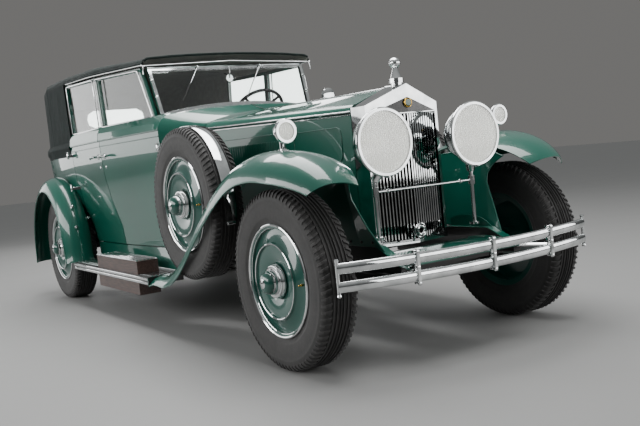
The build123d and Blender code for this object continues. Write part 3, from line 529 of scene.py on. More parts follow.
# The base shape is in millimetres about the origin; the finished row is moved to centre
def addCopies(name, shape, count, turnStep, moveStep, centre, body, material):
    base = bpy.data.meshes.new(name)
    base.from_pydata([tuple(Vector(c) / 1000) for c in shape["corners"]], [], shape["faces"])
    holder = bpy.data.objects.new(name + "_row", base)
    bpy.context.collection.objects.link(holder)
    rows = holder.modifiers.new("copies", "NODES")
    rows.node_group = copyGroup
    rows[copyInputs["Count"]] = count
    rows[copyInputs["Turn per copy"]] = turnStep
    rows[copyInputs["Move per copy"]] = tuple(Vector(moveStep) / 1000)
    rows[copyInputs["Material"]] = material
    made = bpy.data.meshes.new_from_object(holder.evaluated_get(bpy.context.evaluated_depsgraph_get()))
    bpy.data.objects.remove(holder)
    made.transform(Matrix.Translation(at(*centre)))
    faceOutward(made)
    made.name = name
    return settle(name, made, body, 35)


# Points laid on the surface of a CAD node, where one is near enough
def onNode(node, points, reach=30):
    surface = bpy.data.objects.get(node + "_panel") or nodes[node]
    laid = []
    for p in points:
        found, spot, _, _ = surface.closest_point_on_mesh(at(*p), distance=reach / 1000)
        laid.append(Vector(((spot.x - axleX) * 1000, spot.y * 1000, spot.z * 1000)) if found else Vector(p))
    return laid


# Tyres: ribbed crown, a row of slanting shoulder cleats each side, plain wall with raised lines
tyre = {
    "beadRadius": 268, "grooveRadius": 437, "crownRadius": 445.5, "stepsRound": 128, "cleats": 84,
    "cleatStagger": 5, "ribEdges": (-52, -45, -31, -25, -10, -4, 4, 10, 25, 31, 45, 52),
    "wall": [
        (80, 284), (84, 300), (88, 308), (90, 312), (91, 318), (93, 335), (94.5, 352), (95, 372),
        (94.5, 390), (95.5, 394), (94, 399), (92, 412), (88, 424), (80, 433), (66, 436), (56, 437),
    ],
    "cleatRows": (
        (56, 5.5, 0, 445.5, 436), (72, 6.5, 7, 444.5, 434), (86, 7.5, 13, 437, 424),
        (94, 7.0, 16, 421, 410),
    ),
}
spare = {"x": -990, "y": 768, "z": 825, "bandRadius": 451, "bandFrom": -14, "bandTurn": 162}


def tyreOutline():
    bead, groove, crown = tyre["beadRadius"], tyre["grooveRadius"], tyre["crownRadius"]
    wall = [(63, bead), (74, bead + 3)] + tyre["wall"]
    edges = tyre["ribEdges"][::-1]
    ribs = []
    for low, high in zip(edges[::2], edges[1::2]):
        ribs += [
            (low - 0.5, groove), (low - 1.5, crown - abs(low) * 0.03),
            (high + 1.5, crown - abs(high) * 0.03), (high + 0.5, groove),
        ]
    return wall + ribs + [(-y, r) for y, r in wall[::-1]]


# A cleat from four cross lines: place across, half width, lean, top and foot; the last one is pinched
def cleat():
    corners = []
    for y, half, lean, top, foot in tyre["cleatRows"]:
        corners += [(lean - half, y, foot), (lean - half * 0.8, y, top)]
        corners += [(lean + half * 0.8, y, top), (lean + half, y, foot)]
    corners[-3:-1] = [(11.5, 95, 419), (20.5, 95, 419)]
    return grow(newShape(), corners, gridFaces(4, 4, False, True) + [(3, 2, 1, 0), (12, 13, 14, 15)])


other = flipped(cleat(), tyre["cleatStagger"])
cleatPair = grow(cleat(), other["corners"], other["faces"])
wheelPlaces = []
for end, x in (("front", 0), ("rear", -axles["wheelbase"])):
    for side, sign in both():
        centre = (x, sign * axles["halfTrack"], axles["height"])
        wheelPlaces.append((f"{end}_{side}", centre, sign, f"{end}_{side}_wheel", f"tyre_{end}_{side}"))
for side, sign in both():
    centre = (spare["x"], sign * spare["y"], spare["z"])
    wheelPlaces.append((f"spare_{side}", centre, sign, "body", "spare_tyres"))

for label, centre, sign, body, node in wheelPlaces:
    shape = turned(newShape(), tyreOutline(), centre, sign, tyre["stepsRound"])
    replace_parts(addPiece(f"tyre_casing_{label}", shape, body, rubber, 50), node)
    turnStep = (0, math.tau / tyre["cleats"], 0)
    addCopies(
        f"tread_cleats_{label}", cleatPair, tyre["cleats"], turnStep, (0, 0, 0), centre, body, rubber,
    )

# Wheel discs: bright rings (across, radius, thickness, steps, sides), the domed hub cap and the valve
wheelTrim = {
    "rings": ((84, 276, 7.5, 96, 8), (79, 262, 3.2, 96, 6), (101, 185, 3.6, 80, 6)),
    "cap": [
        (98, 58), (100, 79.5), (103, 80.5), (106, 79), (108, 72), (107, 65), (112, 61), (121, 60.5),
        (136, 57), (150, 49.5), (160, 38), (166, 24), (170, 9), (171, 0.2),
    ],
    "capSkirt": [(98, 58), (100, 79.5), (92, 84), (84, 86)],
    "valve": [(0, 6), (14, 6), (14.5, 4.5), (26, 4.5), (27, 3), (27.5, 0.5)], "valveRadius": 236,
    "valveAcross": 78,
}
for label, centre, sign, body, node in wheelPlaces:
    bright = newShape()
    for across, radius, thick, steps, sides in wheelTrim["rings"]:
        ringOn(bright, centre, sign, across, radius, thick, steps, sides)
    for outline in (wheelTrim["cap"], wheelTrim["capSkirt"]):
        turned(bright, outline, centre, sign, 64, closed=False)
    addPiece(f"wheel_brightwork_{label}", bright, body, chrome, 30)
    foot = Vector(centre) + Vector((wheelTrim["valveRadius"], sign * wheelTrim["valveAcross"], 0))
    valve = lathed(newShape(), foot, (0, sign, 0), wheelTrim["valve"], 12)
    addPiece(f"valve_{label}", valve, body, brass, 40)
print("wheels ready:", len(wheelPlaces))

# Silver plate of the lamp bowls: bright with a soft haze; bulbs are frosted glass, pale and even
mirrorSilver, silverShader = newMaterial("silvered_reflector", "#f2f2ee", 0.18, Metallic=0.9)
varyRough(mirrorSilver, silverShader, objectNoise(mirrorSilver, 30.0).outputs["Fac"], 0.12, 0.26)
bulbGlass, bulbShader = newMaterial("bulb_glass", "#fffaf0", 0.2)
varyRough(bulbGlass, bulbShader, objectNoise(bulbGlass, 90.0).outputs["Fac"], 0.1, 0.3)

# Headlamps, and the same at small size on the fenders; outlines are in shares of the lamp's radius
lamps = {
    "sizes": (("headlamp", (267, 297, 1067), 165), ("fender_lamp", (36, 713, 1165), 56)),
    "bowlOutside": ((-0.86, 0.12), (-0.8, 0.34), (-0.62, 0.56), (-0.36, 0.74), (-0.1, 0.87)),
    "bowlInside": ((-0.1, 0.84), (-0.36, 0.71), (-0.6, 0.53), (-0.76, 0.32), (-0.82, 0.1)),
    "bulb": ((0, 0.09), (0.2, 0.1), (0.34, 0.13), (0.46, 0.09)),
    "screw": ((0, 0.05), (2, 0.055), (14, 0.055), (20, 0.04), (24, 0.015)),
}
for side, sign in both():
    for label, (x, middle, z), size in lamps["sizes"]:
        y = sign * middle
        bowl = [(size * a, size * r) for a, r in lamps["bowlOutside"]] + [(-9, size * 0.9), (-9, size * 0.87)]
        bowl += [(size * a, size * r) for a, r in lamps["bowlInside"]]
        shape = turnedAhead(newShape(), bowl, (x, y, z), 40)
        addPiece(f"{label}_bowl_{side}", shape, "body", mirrorSilver, 60)
        outline = [(size * a, size * r) for a, r in lamps["bulb"]] + [(size * 0.5, 0.5)]
        bulb = lathed(newShape(), (x - size * 0.8, y, z), (1, 0, 0), outline, 16)
        addPiece(f"{label}_bulb_{side}", bulb, "body", bulbGlass, 60)
        bead = [(u, size + 1.5 + v) for u, v in roundSection(3, 10, 1.5)]
        bright = turnedAhead(newShape(), bead, (x, y, z), 72)
        screw = [(along, size * r) for along, r in lamps["screw"]]
        lathed(bright, (x - 14, y, z - size - 3), (1, 0, 0), screw, 14)
        stay = [(x - size * 0.95, y, z), (x - size * 0.3, y, z + size * 0.86), (x - 12, y, z + size)]
        rod(bright, stay, size * 0.012)
        addPiece(f"{label}_rim_{side}", bright, "body", chrome, 40)

# Radiator: black panel under the peak, painted shade for the dark gap there, gilt badge with a green middle,
# crank ring, filler bead
radiator = {
    "shoulder": (46, 216, 1217), "peakX": 93, "peakLow": 1213, "peakTop": 1290, "panelThickness": 3,
    "badgeZ": 1262, "badge": [(0, 25), (5, 26), (9, 24), (10, 20), (7.5, 18.5), (8.5, 10), (9, 0.5)],
    "enamel": [(0, 18), (1.2, 18), (1.6, 16), (1.8, 0.5)], "crankZ": 590,
    "crankRings": ((22, 5, 119), (36, 4, 112)),
}
# The black sheet under the peak is painted shade, standing for the dark gap between the shell's top band and
# the grille
corners = []
x, y, z = radiator["shoulder"]
for lift in (0, radiator["panelThickness"]):
    peak = radiator["peakX"] + lift
    corners += [(x + lift, y, z), (peak, 0, radiator["peakLow"])]
    corners += [(x + lift, -y, z), (peak, 0, radiator["peakTop"])]
faces = [(0, 1, 3), (1, 2, 3), (4, 7, 5), (5, 7, 6), (0, 4, 5, 1), (1, 5, 6, 2), (2, 6, 7, 3), (3, 7, 4, 0)]
panelShape = grow(newShape(), corners, faces)
addPiece("radiator_gap_shade_panel", panelShape, "body", blackPaint, 20)
badge = lathed(newShape(), (96, 0, radiator["badgeZ"]), (1, 0, 0), radiator["badge"], 40)
addPiece("radiator_badge", badge, "body", brass, 30)
enamel = lathed(newShape(), (104.4, 0, radiator["badgeZ"]), (1, 0, 0), radiator["enamel"], 32)
addPiece("badge_enamel", enamel, "body", bodyPaint, 30)
front = newShape()
strip(front, [(50, 216, 1213), (97, 0, 1210), (50, -216, 1213)], 4, 7)
for radius, thick, x in radiator["crankRings"]:
    loop = [(x, u, radiator["crankZ"] + v) for u, v in roundSection(radius, 32)]
    rod(front, loop, thick, 8, True, up=(1, 0, 0))
for sign in (1, -1):
    rod(front, [(98, sign * 36, 590), (104, sign * 37, 566), (96, sign * 34, 540), (70, sign * 30, 530)], 4)
strip(front, [(-78, 0, 1364), (10, 0, 1358)], 10, 6)
addPiece("radiator_brightwork", front, "body", chrome, 40)
print("lamps and radiator ready")

# Bumpers: two crowned blades on clamps, pins with ball ends, and flat brackets back to the frame.
# Front and rear give the nose, the blade ends, the half width, and where the bracket meets the frame
bumpers = {
    "front": (640, 505, 802, 430, 370), "rear": (-4700, -4580, 790, -4470, 495),
    "blades": (533, 450), "halfBlade": 25, "crown": 12, "clampY": 432,
    "clampBolts": (419, 492, 564), "bracketZ": 473,
    "clamp": ((4, 412), (9, 424), (7, 492), (9, 560), (4, 571)),
    "endPin": [
        (0, 0.5), (2, 8), (8, 11.5), (14, 9), (18, 8.5), (158, 8.5), (162, 9), (168, 11.5), (174, 8),
        (176, 0.5),
    ],
}


def bumperPiece(nose, end, half, frameX, frameY):
    sign = 1 if nose > 0 else -1
    radius = ((nose - end) ** 2 + half ** 2) / (2 * abs(nose - end))

    def faceAt(y):
        return nose - sign * (radius - math.sqrt(radius ** 2 - y ** 2))

    shape = newShape()
    tall, clampY = bumpers["halfBlade"], bumpers["clampY"]
    turns = [math.radians(a) for a in range(75, -80, -15)]
    bulge = [(-6, -tall), (-6, tall), (-2, tall)]
    bulge += [(-2 + bumpers["crown"] * math.cos(a), tall * math.sin(a)) for a in turns] + [(-2, -tall)]
    section = [(sign * u, v) for u, v in reversed(bulge)]
    for z in bumpers["blades"]:
        across = [-half + 2 * half * k / 40 for k in range(41)]
        carried(shape, [(faceAt(y) - sign * 6, y, z) for y in across], section)
    for y in (-clampY, 0, clampY):
        face = faceAt(y)
        loop = [(face + sign * ahead, y, z) for ahead, z in bumpers["clamp"]]
        carried(shape, smoothLine(loop, 5), stripSection(20, 8), (sign, 0, 0))
        bevelled(shape, (face - sign * 12, y - 9, 414), (face - sign * 24, y + 9, 569), 2)
        for z in bumpers["clampBolts"]:
            lathed(shape, (face + sign * 6, y, z), (sign, 0, 0), [(0, 8), (4, 8), (7, 6.5), (8.5, 0.5)], 12)
            rod(shape, [(face - sign * 22, y, z), (face + sign * 8, y, z)], 5)
    inner = faceAt(clampY) - sign * 20
    for side in (1, -1):
        lathed(shape, (end - sign * 6, side * (half - 4), 404), (0, 0, 1), bumpers["endPin"], 16)
        ends = [(frameX, frameY), ((frameX + inner) / 2, (frameY + clampY) / 2), (inner, clampY)]
        strip(shape, [(x, side * y, bumpers["bracketZ"]) for x, y in ends], 40, 20)
    return shape


for label in ("front", "rear"):
    shape = bumperPiece(*bumpers[label])
    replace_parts(addPiece(f"bumper_{label}", shape, "body", chrome, 32), "bumpers")

# Beads on the fender lips: each row is a point of the crown, its slope, and how far out and down the lip lies
fenderRows = {
    "front": (
        (415, 905, -52, 830, 70), (300, 1000, -33, 872, 112), (120, 1062, -12, 893, 136),
        (-90, 1076, 6, 900, 140), (-330, 1035, 22, 900, 140), (-590, 905, 34, 900, 136),
        (-860, 706, 38, 898, 128), (-1130, 505, 34, 893, 112), (-1380, 390, 14, 888, 84),
        (-1618, 352, 0, 884, 58),
    ),
    "rear": (
        (-3302, 352, -84, 935, 62), (-3330, 580, -80, 935, 84), (-3412, 810, -62, 935, 100),
        (-3600, 990, -32, 935, 110), (-3840, 1062, 0, 935, 112), (-4100, 1000, 30, 935, 110),
        (-4310, 810, 58, 935, 100), (-4412, 560, 76, 935, 84), (-4448, 300, 86, 932, 70),
    ),
    "bead": 4.5,
}
for end in ("front", "rear"):
    lip = []
    for x, z, slope, y, drop in fenderRows[end]:
        lean = math.radians(slope)
        lip.append((x + math.sin(lean) * drop, y, z - math.cos(lean) * drop))
    outer = onNode(f"{end}_fenders", smoothLine(lip, 10))
    for side, sign in both():
        bead = rod(newShape(), outer if sign > 0 else mirrored(outer), fenderRows["bead"], 8)
        addPiece(f"fender_bead_{end}_{side}", bead, "body", bodyPaint, 60)

# Running boards: rubber mat, bright rubbing strips along them and a double bright edge
board = {
    "top": 350, "stripsFrom": 656, "stripPitch": 28, "strip": (11, 12), "edgeStrips": (312, 338),
    "edgeStrip": (8, 18), "boxTop": 440, "boxStripsFrom": 726, "boxStripPitch": 27, "boxStrip": (13, 12),
    "boxEnds": (-1861, -2729),
    "mats": ((-1626, -3286, 644, 712), (-1626, -1853, 714, 880), (-2737, -3286, 714, 880)),
}
for side, sign in both():
    bright, tread, lids = newShape(), newShape(), newShape()
    for y in range(board["stripsFrom"], 880, board["stripPitch"]):
        besideBox = not 712 < y < 868
        for x1, x2 in [(-1630, -3284)] if besideBox else [(-1630, -1852), (-2738, -3284)]:
            line = [(x1, 3), ((x1 + x2) / 2, 4), (x2, 4)]
            strip(bright, [(x, sign * y, board["top"] + lift) for x, lift in line], *board["strip"])
    for y in range(board["boxStripsFrom"], 868, board["boxStripPitch"]):
        strip(bright, [(x, sign * y, board["boxTop"] + 4) for x in (-1862, -2300, -2728)], *board["boxStrip"])
    for z in board["edgeStrips"]:
        strip(bright, [(x, sign * 886, z) for x in (-1622, -2500, -3288)], *board["edgeStrip"])
    addPiece(f"board_strips_{side}", bright, "body", chrome, 40)
    for x1, x2, y1, y2 in board["mats"]:
        bevelled(tread, (x1, sign * y1, board["top"] - 1), (x2, sign * y2, board["top"] + 2.5), 1)
    addPiece(f"board_mat_{side}", tread, "body", mat, 30)
    bevelled(lids, (-1858, sign * 713, board["boxTop"] - 7), (-2732, sign * 867, board["boxTop"] + 1), 3)
    for x in board["boxEnds"]:
        bevelled(lids, (x - 2, sign * 718, 214), (x + 2, sign * 862, 226), 1.5)
    addPiece(f"step_box_lid_{side}", lids, "body", wood, 30)
print("bumpers, fender beads and boards ready")


# Soft top: one cloth skin over the hoops, drawn in between them, closed round the back window.
# Each row is a hoop: station, foot, side, brow and crown, as half widths and heights
softTop = {
    "hoops": (
        (-1872, 648, 1300, 664, 1766, 622, 1800, 1822), (-2650, 758, 1300, 777, 1800, 735, 1846, 1876),
        (-3420, 755, 1300, 770, 1828, 722, 1876, 1902), (-4000, 736, 1300, 748, 1836, 702, 1886, 1912),
        (-4250, 716, 1300, 724, 1806, 680, 1856, 1884), (-4370, 690, 1300, 696, 1740, 652, 1790, 1814),
        (-4436, 630, 1300, 634, 1650, 590, 1694, 1712),
    ),
    "bows": (-1872, -2330, -2790, -3250, -3700, -4050), "bandSeams": (-3250, -4050), "front": -1872,
    "quarterFront": -3430, "back": -4436, "doorEdge": 1757, "doorEdgeRise": 0.0365, "quarterEdge": 1312,
    "sag": 5.0, "bowRidge": 2.5, "ripple": 1.6, "columns": 44, "clothThickness": 0.004, "flat": (2.5, 3.1),
    "windowZ": 1585, "windowHalfWidth": 290, "windowHalfHeight": 90, "windowCorner": 78,
    "backPanelRings": 9, "skirtHeights": (1226, 1236, 1262, 1290, 1304), "skirtTop": 1340, "skirtPitch": 26,
}


def rowAt(x):
    for front, back in zip(softTop["hoops"], softTop["hoops"][1:]):
        if x >= back[0]:
            t = (x - front[0]) / (back[0] - front[0])
            return [a + (b - a) * t for a, b in zip(front, back)]
    return list(softTop["hoops"][-1])


def lowEdge(x):
    if x > softTop["quarterFront"]:
        return softTop["doorEdge"] + (softTop["front"] - x) * softTop["doorEdgeRise"]
    return softTop["quarterEdge"]


# How far the cloth lies off the straight line between bows: sag, the ridge over each bow, and slight ripples
def sagAt(x, share):
    near = min(abs(x - bow) for bow in softTop["bows"])
    drawn = softTop["bowRidge"] * math.exp(-((near / 22) ** 2)) - softTop["sag"] * min(1.0, near / 230) ** 1.5
    ripple = softTop["ripple"] * math.sin(x * 0.031 + share * 9.0) * math.sin(share * 21.0 + x * 0.008)
    return drawn * min(1.0, (1 - abs(share)) * 4) + ripple * (abs(share) > 0.45)


# The line of the cloth across the car at a station, evenly spaced from the left edge to the right
def hoopLine(x):
    columns = softTop["columns"]
    _, lowY, lowZ, sideY, sideZ, browY, browZ, crown = rowAt(x)
    start = max(lowEdge(x), lowZ)
    startY = lowY + (sideY - lowY) * (start - lowZ) / (sideZ - lowZ)
    outline = [(startY, start)] + ([(sideY, sideZ)] if start < sideZ - 2 else [])
    for k in range(1, 7):
        a = math.radians(90 * k / 6)
        y = sideY - (sideY - browY) * (1 - math.cos(a))
        outline.append((y, sideZ + (browZ - sideZ) * math.sin(a) ** 0.9))
    for k in range(1, 15):
        y = browY * (1 - k / 14)
        outline.append((y, crown - (crown - browZ) * (y / browY) ** 2))
    spans = [0.0]
    for a, b in zip(outline, outline[1:]):
        spans.append(spans[-1] + math.dist(a, b))
    half = []
    for k in range(columns + 1):
        want = spans[-1] * k / columns
        j = max(i for i, s in enumerate(spans) if s <= want + 1e-9)
        j = min(j, len(outline) - 2)
        t = (want - spans[j]) / max(spans[j + 1] - spans[j], 1e-6)
        y, z = (outline[j][i] + (outline[j + 1][i] - outline[j][i]) * t for i in (0, 1))
        lift = sagAt(x, 1 - k / columns)
        lean = min(1.0, max(0.0, (z - sideZ) / max(crown - sideZ, 1)))
        half.append((x, y + lift * (1 - lean), z + lift * lean))
    return half + [(px, -y, z) for px, y, z in half[-2::-1]]


quarterFront, topBack = softTop["quarterFront"], softTop["back"]
topStations = [x for x in range(softTop["front"], quarterFront + 4, -24)] + [quarterFront + 0.5]
quarterStations = [quarterFront - 0.5 - 22 * k for k in range(46)]
quarterStations = [x for x in quarterStations if x >= topBack][:-1] + [topBack + 8, topBack]


# The rounded window opening, one point for each point of the hoop round it
def windowRingFor(hoop):
    wide, tall, corner = softTop["windowHalfWidth"], softTop["windowHalfHeight"], softTop["windowCorner"]
    ring = []
    for _, y, z in hoop:
        a = math.atan2((z - softTop["windowZ"]) / 210, y / 620)
        reach = 1 / max(abs(math.cos(a)) / wide, abs(math.sin(a)) / tall)
        py, pz = math.cos(a) * reach, math.sin(a) * reach
        oy, oz = abs(py) - (wide - corner), abs(pz) - (tall - corner)
        if oy > 0 and oz > 0:
            scale = corner / math.hypot(oy, oz)
            py = math.copysign(wide - corner + oy * scale, py)
            pz = math.copysign(tall - corner + oz * scale, pz)
        ring.append((topBack - 2, py, softTop["windowZ"] + pz))
    return ring


canopy = newShape()
for stations in (topStations, quarterStations):
    rows = [hoopLine(x) for x in stations]
    grow(canopy, [p for row in rows for p in row], gridFaces(len(rows), len(rows[0])))
# The back panel runs in from the last hoop to the window
hoop = hoopLine(topBack)
foot = [(topBack, -hoop[0][1] + 2 * hoop[0][1] * k / 30, hoop[0][2]) for k in range(1, 30)]
outerRing = hoop + foot
windowRing = windowRingFor(outerRing)
rings = [outerRing]
for k in range(1, softTop["backPanelRings"] + 1):
    t = k / softTop["backPanelRings"]
    bulge = 9 * math.sin(math.pi * min(1, t * 1.2)) * (t < 0.84)
    rings.append([
        (topBack - bulge, y1 + (y2 - y1) * t, z1 + (z2 - z1) * t)
        for (_, y1, z1), (_, y2, z2) in zip(outerRing, windowRing)
    ])
grow(canopy, [p for row in rings for p in row], gridFaces(len(rings), len(outerRing), False, True))
canopyPiece = addPiece("top_cloth_skin", canopy, "body", topCloth, 70)
faceOutward(canopyPiece.data, 0.0015)
highest = max(canopyPiece.data.polygons, key=lambda p: p.center.z)
if highest.normal.z < 0:
    canopyPiece.data.flip_normals()

# The cloth's thickness grows inwards, and its inner face is the lining
canopyPiece.data.materials.append(topLining)
skin = canopyPiece.modifiers.new("cloth", "SOLIDIFY")
skin.material_offset = 1
skin.thickness = softTop["clothThickness"]
skin.offset = -1
made = bpy.data.meshes.new_from_object(canopyPiece.evaluated_get(bpy.context.evaluated_depsgraph_get()))
canopyPiece.modifiers.clear()
canopyPiece.data = made
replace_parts(canopyPiece, "soft_top")

# Binding along every cut edge, the rolled edge over the doors, and seams along and across the roof
bindings = newShape()
for sign in (1, -1):
    edge = [hoopLine(x)[0] for x in topStations[::4] + topStations[-1:]]
    strip(bindings, [(x, sign * (y + 2), z + 7) for x, y, z in edge], 7, 18)
    corner = hoopLine(quarterFront - 8)[:27:2]
    low = [(quarterFront - 6, sign * (y + 2.5), z) for _, y, z in corner]
    strip(bindings, low, 18, 6, (0, sign, 0))
    brows = [hoopLine(x)[30] for x in topStations[::3] + quarterStations[1:-6:3]]
    strip(bindings, [(x, sign * y, z + 1.5) for x, y, z in brows], 14, 3)
for x in softTop["bandSeams"]:
    hoop = hoopLine(x)[12:77] if x > quarterFront else hoopLine(x)
    seam = [(x, y, z + 1.5) for _, y, z in hoop]
    strip(bindings, seam, 16, 3, [(0, y / 900, 0.6) for _, y, _ in seam])
binding = addPiece("top_cloth_bindings", bindings, "body", topCloth, 60)
ringFrame = rod(newShape(), [(x - 3, y, z) for x, y, z in windowRing][::2], 6, 8, True, up=(1, 0, 0))
addPiece("back_window_frame", ringFrame, "body", chrome, 60)

# Skirt of the cloth, drawn down over the back corners of the tub and held by its own binding
skirt = newShape()
for sign in (1, -1):
    rows = []
    for z in softTop["skirtHeights"]:
        start = [(x, sign * 800, min(z, 1300)) for x in range(-3446, -4400, -softTop["skirtPitch"])]
        rows.append([(x, y + sign * 2.5, z) for x, y, _ in onNode("rear_tub", start, 120)])
    rows.append([(x, sign * (hoopLine(x)[0][1] + 4), softTop["skirtTop"]) for x, _, _ in rows[0]])
    grow(skirt, [p for row in rows for p in row], gridFaces(len(rows), len(rows[0])))
    rod(skirt, rows[0], 3.5, 6)
addPiece("top_cloth_skirt", skirt, "body", topCloth, 60)

# Header: rolled valance over the windscreen, bright drip rail and its down-turned ends
roll = [(-1868, y, z - 2) for _, y, z in hoopLine(-1873)[2:-2:2]]
header = carried(newShape(), roll, roundSection(9, 10), (1, 0, 0))
addPiece("top_front_roll", header, "body", topCloth, 60)
drip = newShape()
for sign in (1, -1):
    line = [(x, sign * (hoopLine(x)[0][1] + 9), lowEdge(x) - 4) for x in topStations[::6]]
    strip(drip, line, 10, 8)
    rod(drip, [(-1872, sign * 660, 1752), (-1862, sign * 668, 1728), (-1858, sign * 668, 1690)], 4)
strip(drip, [(-1884, 655, 1752), (-1878, 0, 1772), (-1884, -655, 1752)], 14, 9)
addPiece("drip_rail", drip, "body", chrome, 40)

# Spare wheels: a broad polished band over each tyre, held by a clasp at each end
for side, sign in both():
    band, line = newShape(), []
    for k in range(61):
        a = math.radians(spare["bandFrom"] + spare["bandTurn"] * k / 60)
        reach = spare["bandRadius"]
        line.append((spare["x"] + reach * math.cos(a), sign * spare["y"], spare["z"] + reach * math.sin(a)))
    ups = [(x - spare["x"], 0, z - spare["z"]) for x, _, z in line]
    carried(band, line, [(-34, -2), (-34, 1), (-24, 3.4), (24, 3.4), (34, 1), (34, -2)], ups)
    for x, _, z in (line[0], line[-1]):
        lathed(band, (x, sign * (spare["y"] - 26), z), (0, sign, 0), [(0, 9), (4, 12), (48, 12), (52, 9)], 14)
    addPiece(f"spare_band_{side}", band, "body", chrome, 40)


# Body side: the same line of half widths and heights, and the same toe-in, that the doors and pillars follow
bodySide = {
    "line": (
        (650, 500), (664, 640), (722, 845), (754, 1010), (768, 1150), (772, 1250), (772, 1294), (784, 1304),
        (778, 1354), (750, 1405),
    ),
    "pillar": -1615, "post": -2650, "doorRear": -3420, "beads": ((1299, 7, 9), (1258, 5, 6)),
    "waist": 1304, "sill": 1405, "windowTaper": 18 / 435, "toeIn": 66, "toeInAbove": 84, "rearToeIn": 8,
    "frameTop": 1712, "frameRise": 0.042,
}
pillarX, postX, doorRearX = bodySide["pillar"], bodySide["post"], bodySide["doorRear"]


def sideY(x, z):
    line = bodySide["line"]
    y = line[-1][0] + (z - bodySide["sill"]) * bodySide["windowTaper"]
    for (y1, z1), (y2, z2) in zip(line, line[1:]):
        if z1 <= z <= z2:
            y = y1 + (y2 - y1) * (z - z1) / (z2 - z1)
    if x > postX:
        high = min(1, max(0, (z - bodySide["waist"]) / (bodySide["sill"] - bodySide["waist"])))
        return y - (bodySide["toeIn"] + bodySide["toeInAbove"] * high) * (x - postX) / (pillarX - postX)
    return y - bodySide["rearToeIn"] * (x - postX) / (doorRearX - postX)


def frameTop(x):
    return bodySide["frameTop"] + (pillarX - 200 - x) * bodySide["frameRise"]


# Each door: window corners, handle, waist run, hinge line and heights, and the two fields of its lining
doors = {
    "front": {
        "windowFront": (-1866, -1985), "windowBack": (postX + 34, postX + 34), "handle": postX + 62,
        "away": 1, "waist": (pillarX - 8, postX + 6), "hinge": (-1617, 722, -26),
        "hingeHeights": (1180, 900, 620),
        "lining": ((pillarX - 60, postX + 30, 620, 1000), (pillarX - 60, postX + 30, 1012, 1230)),
    },
    "rear": {
        "windowFront": (postX - 34, postX - 34), "windowBack": (doorRearX + 38, doorRearX + 34),
        "handle": postX - 62, "away": -1, "waist": (postX - 6, doorRearX + 2), "hinge": (-3424, 800, 26),
        "hingeHeights": (1225, 955),
        "lining": ((postX - 30, -3100, 640, 1000), (postX - 30, -3372, 1012, 1230)),
    },
}
doorParts = {
    "frame": (15, 6), "handleZ": 1182, "lockZ": 1100, "winderZ": 1110, "puff": 7, "pad": 45.5,
    "hingeLeaf": (8, 26), "rose": [(0, 22), (4, 21), (7, 15), (12, 9), (34, 8), (38, 0.5)],
    "knob": [(0, 7), (6, 9), (12, 7), (15, 0.5)],
    "lever": ((-10, 36, 0), (26, 41, 4), (72, 40, 1), (112, 33, -7)),
    "lock": [(0, 11), (4, 10), (5, 4), (5.5, 0.5)],
    "barrel": [(0, 3), (1, 8), (3, 9), (45, 9), (47, 8), (52, 11), (58, 9), (61, 0.5)],
    "winder": [(0, 18), (4, 17), (8, 8), (22, 7), (24, 0.5)],
    "winderKnob": [(0, 8), (24, 10), (28, 6), (29, 0.5)],
}


# Bright frame round the window, on the door's own frame
def windowFrame(door, sign):
    (lowFront, highFront), (highBack, lowBack) = door["windowFront"], door["windowBack"]
    corners = [
        (lowFront + 10, 1398), (highFront + 9, frameTop(highFront) + 12),
        (highBack - 12, frameTop(highBack) + 12), (lowBack - 12, 1398),
    ]
    loop = []
    for (x1, z1), (x2, z2) in zip(corners, corners[1:] + corners[:1]):
        for t in (0.03, 0.35, 0.65, 0.97):
            x, z = x1 + (x2 - x1) * t, z1 + (z2 - z1) * t
            loop.append((x, sign * (sideY(x, max(z, 1406)) + 2.2), z))
    return strip(newShape(), loop, *doorParts["frame"], (0, sign, 0), True)


# Lever handle with its round escutcheon, and the lock below
def doorHandle(door, sign):
    lever = newShape()
    x, z, away = door["handle"], doorParts["handleZ"], door["away"]
    y = sideY(x, z)
    lathed(lever, (x, sign * (y - 1), z), (0, sign, 0), doorParts["rose"], 24)
    line = [(x + away * along, sign * (y + out), z + up) for along, out, up in doorParts["lever"]]
    carried(lever, smoothLine(line, 5), roundSection(8.5, 12, 0.8))
    lathed(lever, (x + away * 106, sign * (y + 34), z - 6), (away, 0, -0.1), doorParts["knob"], 12)
    lockZ = doorParts["lockZ"]
    return lathed(lever, (x, sign * (sideY(x, lockZ) - 1), lockZ), (0, sign, 0), doorParts["lock"], 20)


# Barrel hinges standing out on short arms from the pillar to the door
def doorHinges(door, sign):
    leaf = newShape()
    x, axisY, reach = door["hinge"]
    for z in door["hingeHeights"]:
        y = sideY(min(x, pillarX), z)
        lathed(leaf, (x, sign * axisY, z - 24), (0, 0, 1), doorParts["barrel"], 16)
        arm = [(x, axisY), (x + reach / 2, (axisY + y) / 2 + 4), (x + reach, y - 3)]
        strip(leaf, [(along, sign * out, z) for along, out in arm], *doorParts["hingeLeaf"])
    return leaf


# Trimmed lining in two padded fields with a thin back
def doorLining(door, sign):
    liner = newShape()
    for x1, x2, z1, z2 in door["lining"]:
        face, back = [], []
        for k in range(13):
            x = x1 + (x2 - x1) * k / 12
            for j in range(7):
                z = z1 + (z2 - z1) * j / 6
                swell = math.sin(math.pi * k / 12) ** 0.3 * math.sin(math.pi * j / 6) ** 0.4
                face.append((x, sign * (sideY(x, z) - doorParts["pad"] - doorParts["puff"] * swell), z))
                back.append((x, sign * (sideY(x, z) - doorParts["pad"] + 0.3), z))
        grow(liner, face, gridFaces(13, 7))
        grow(liner, back, [f[::-1] for f in gridFaces(13, 7)])
    return liner


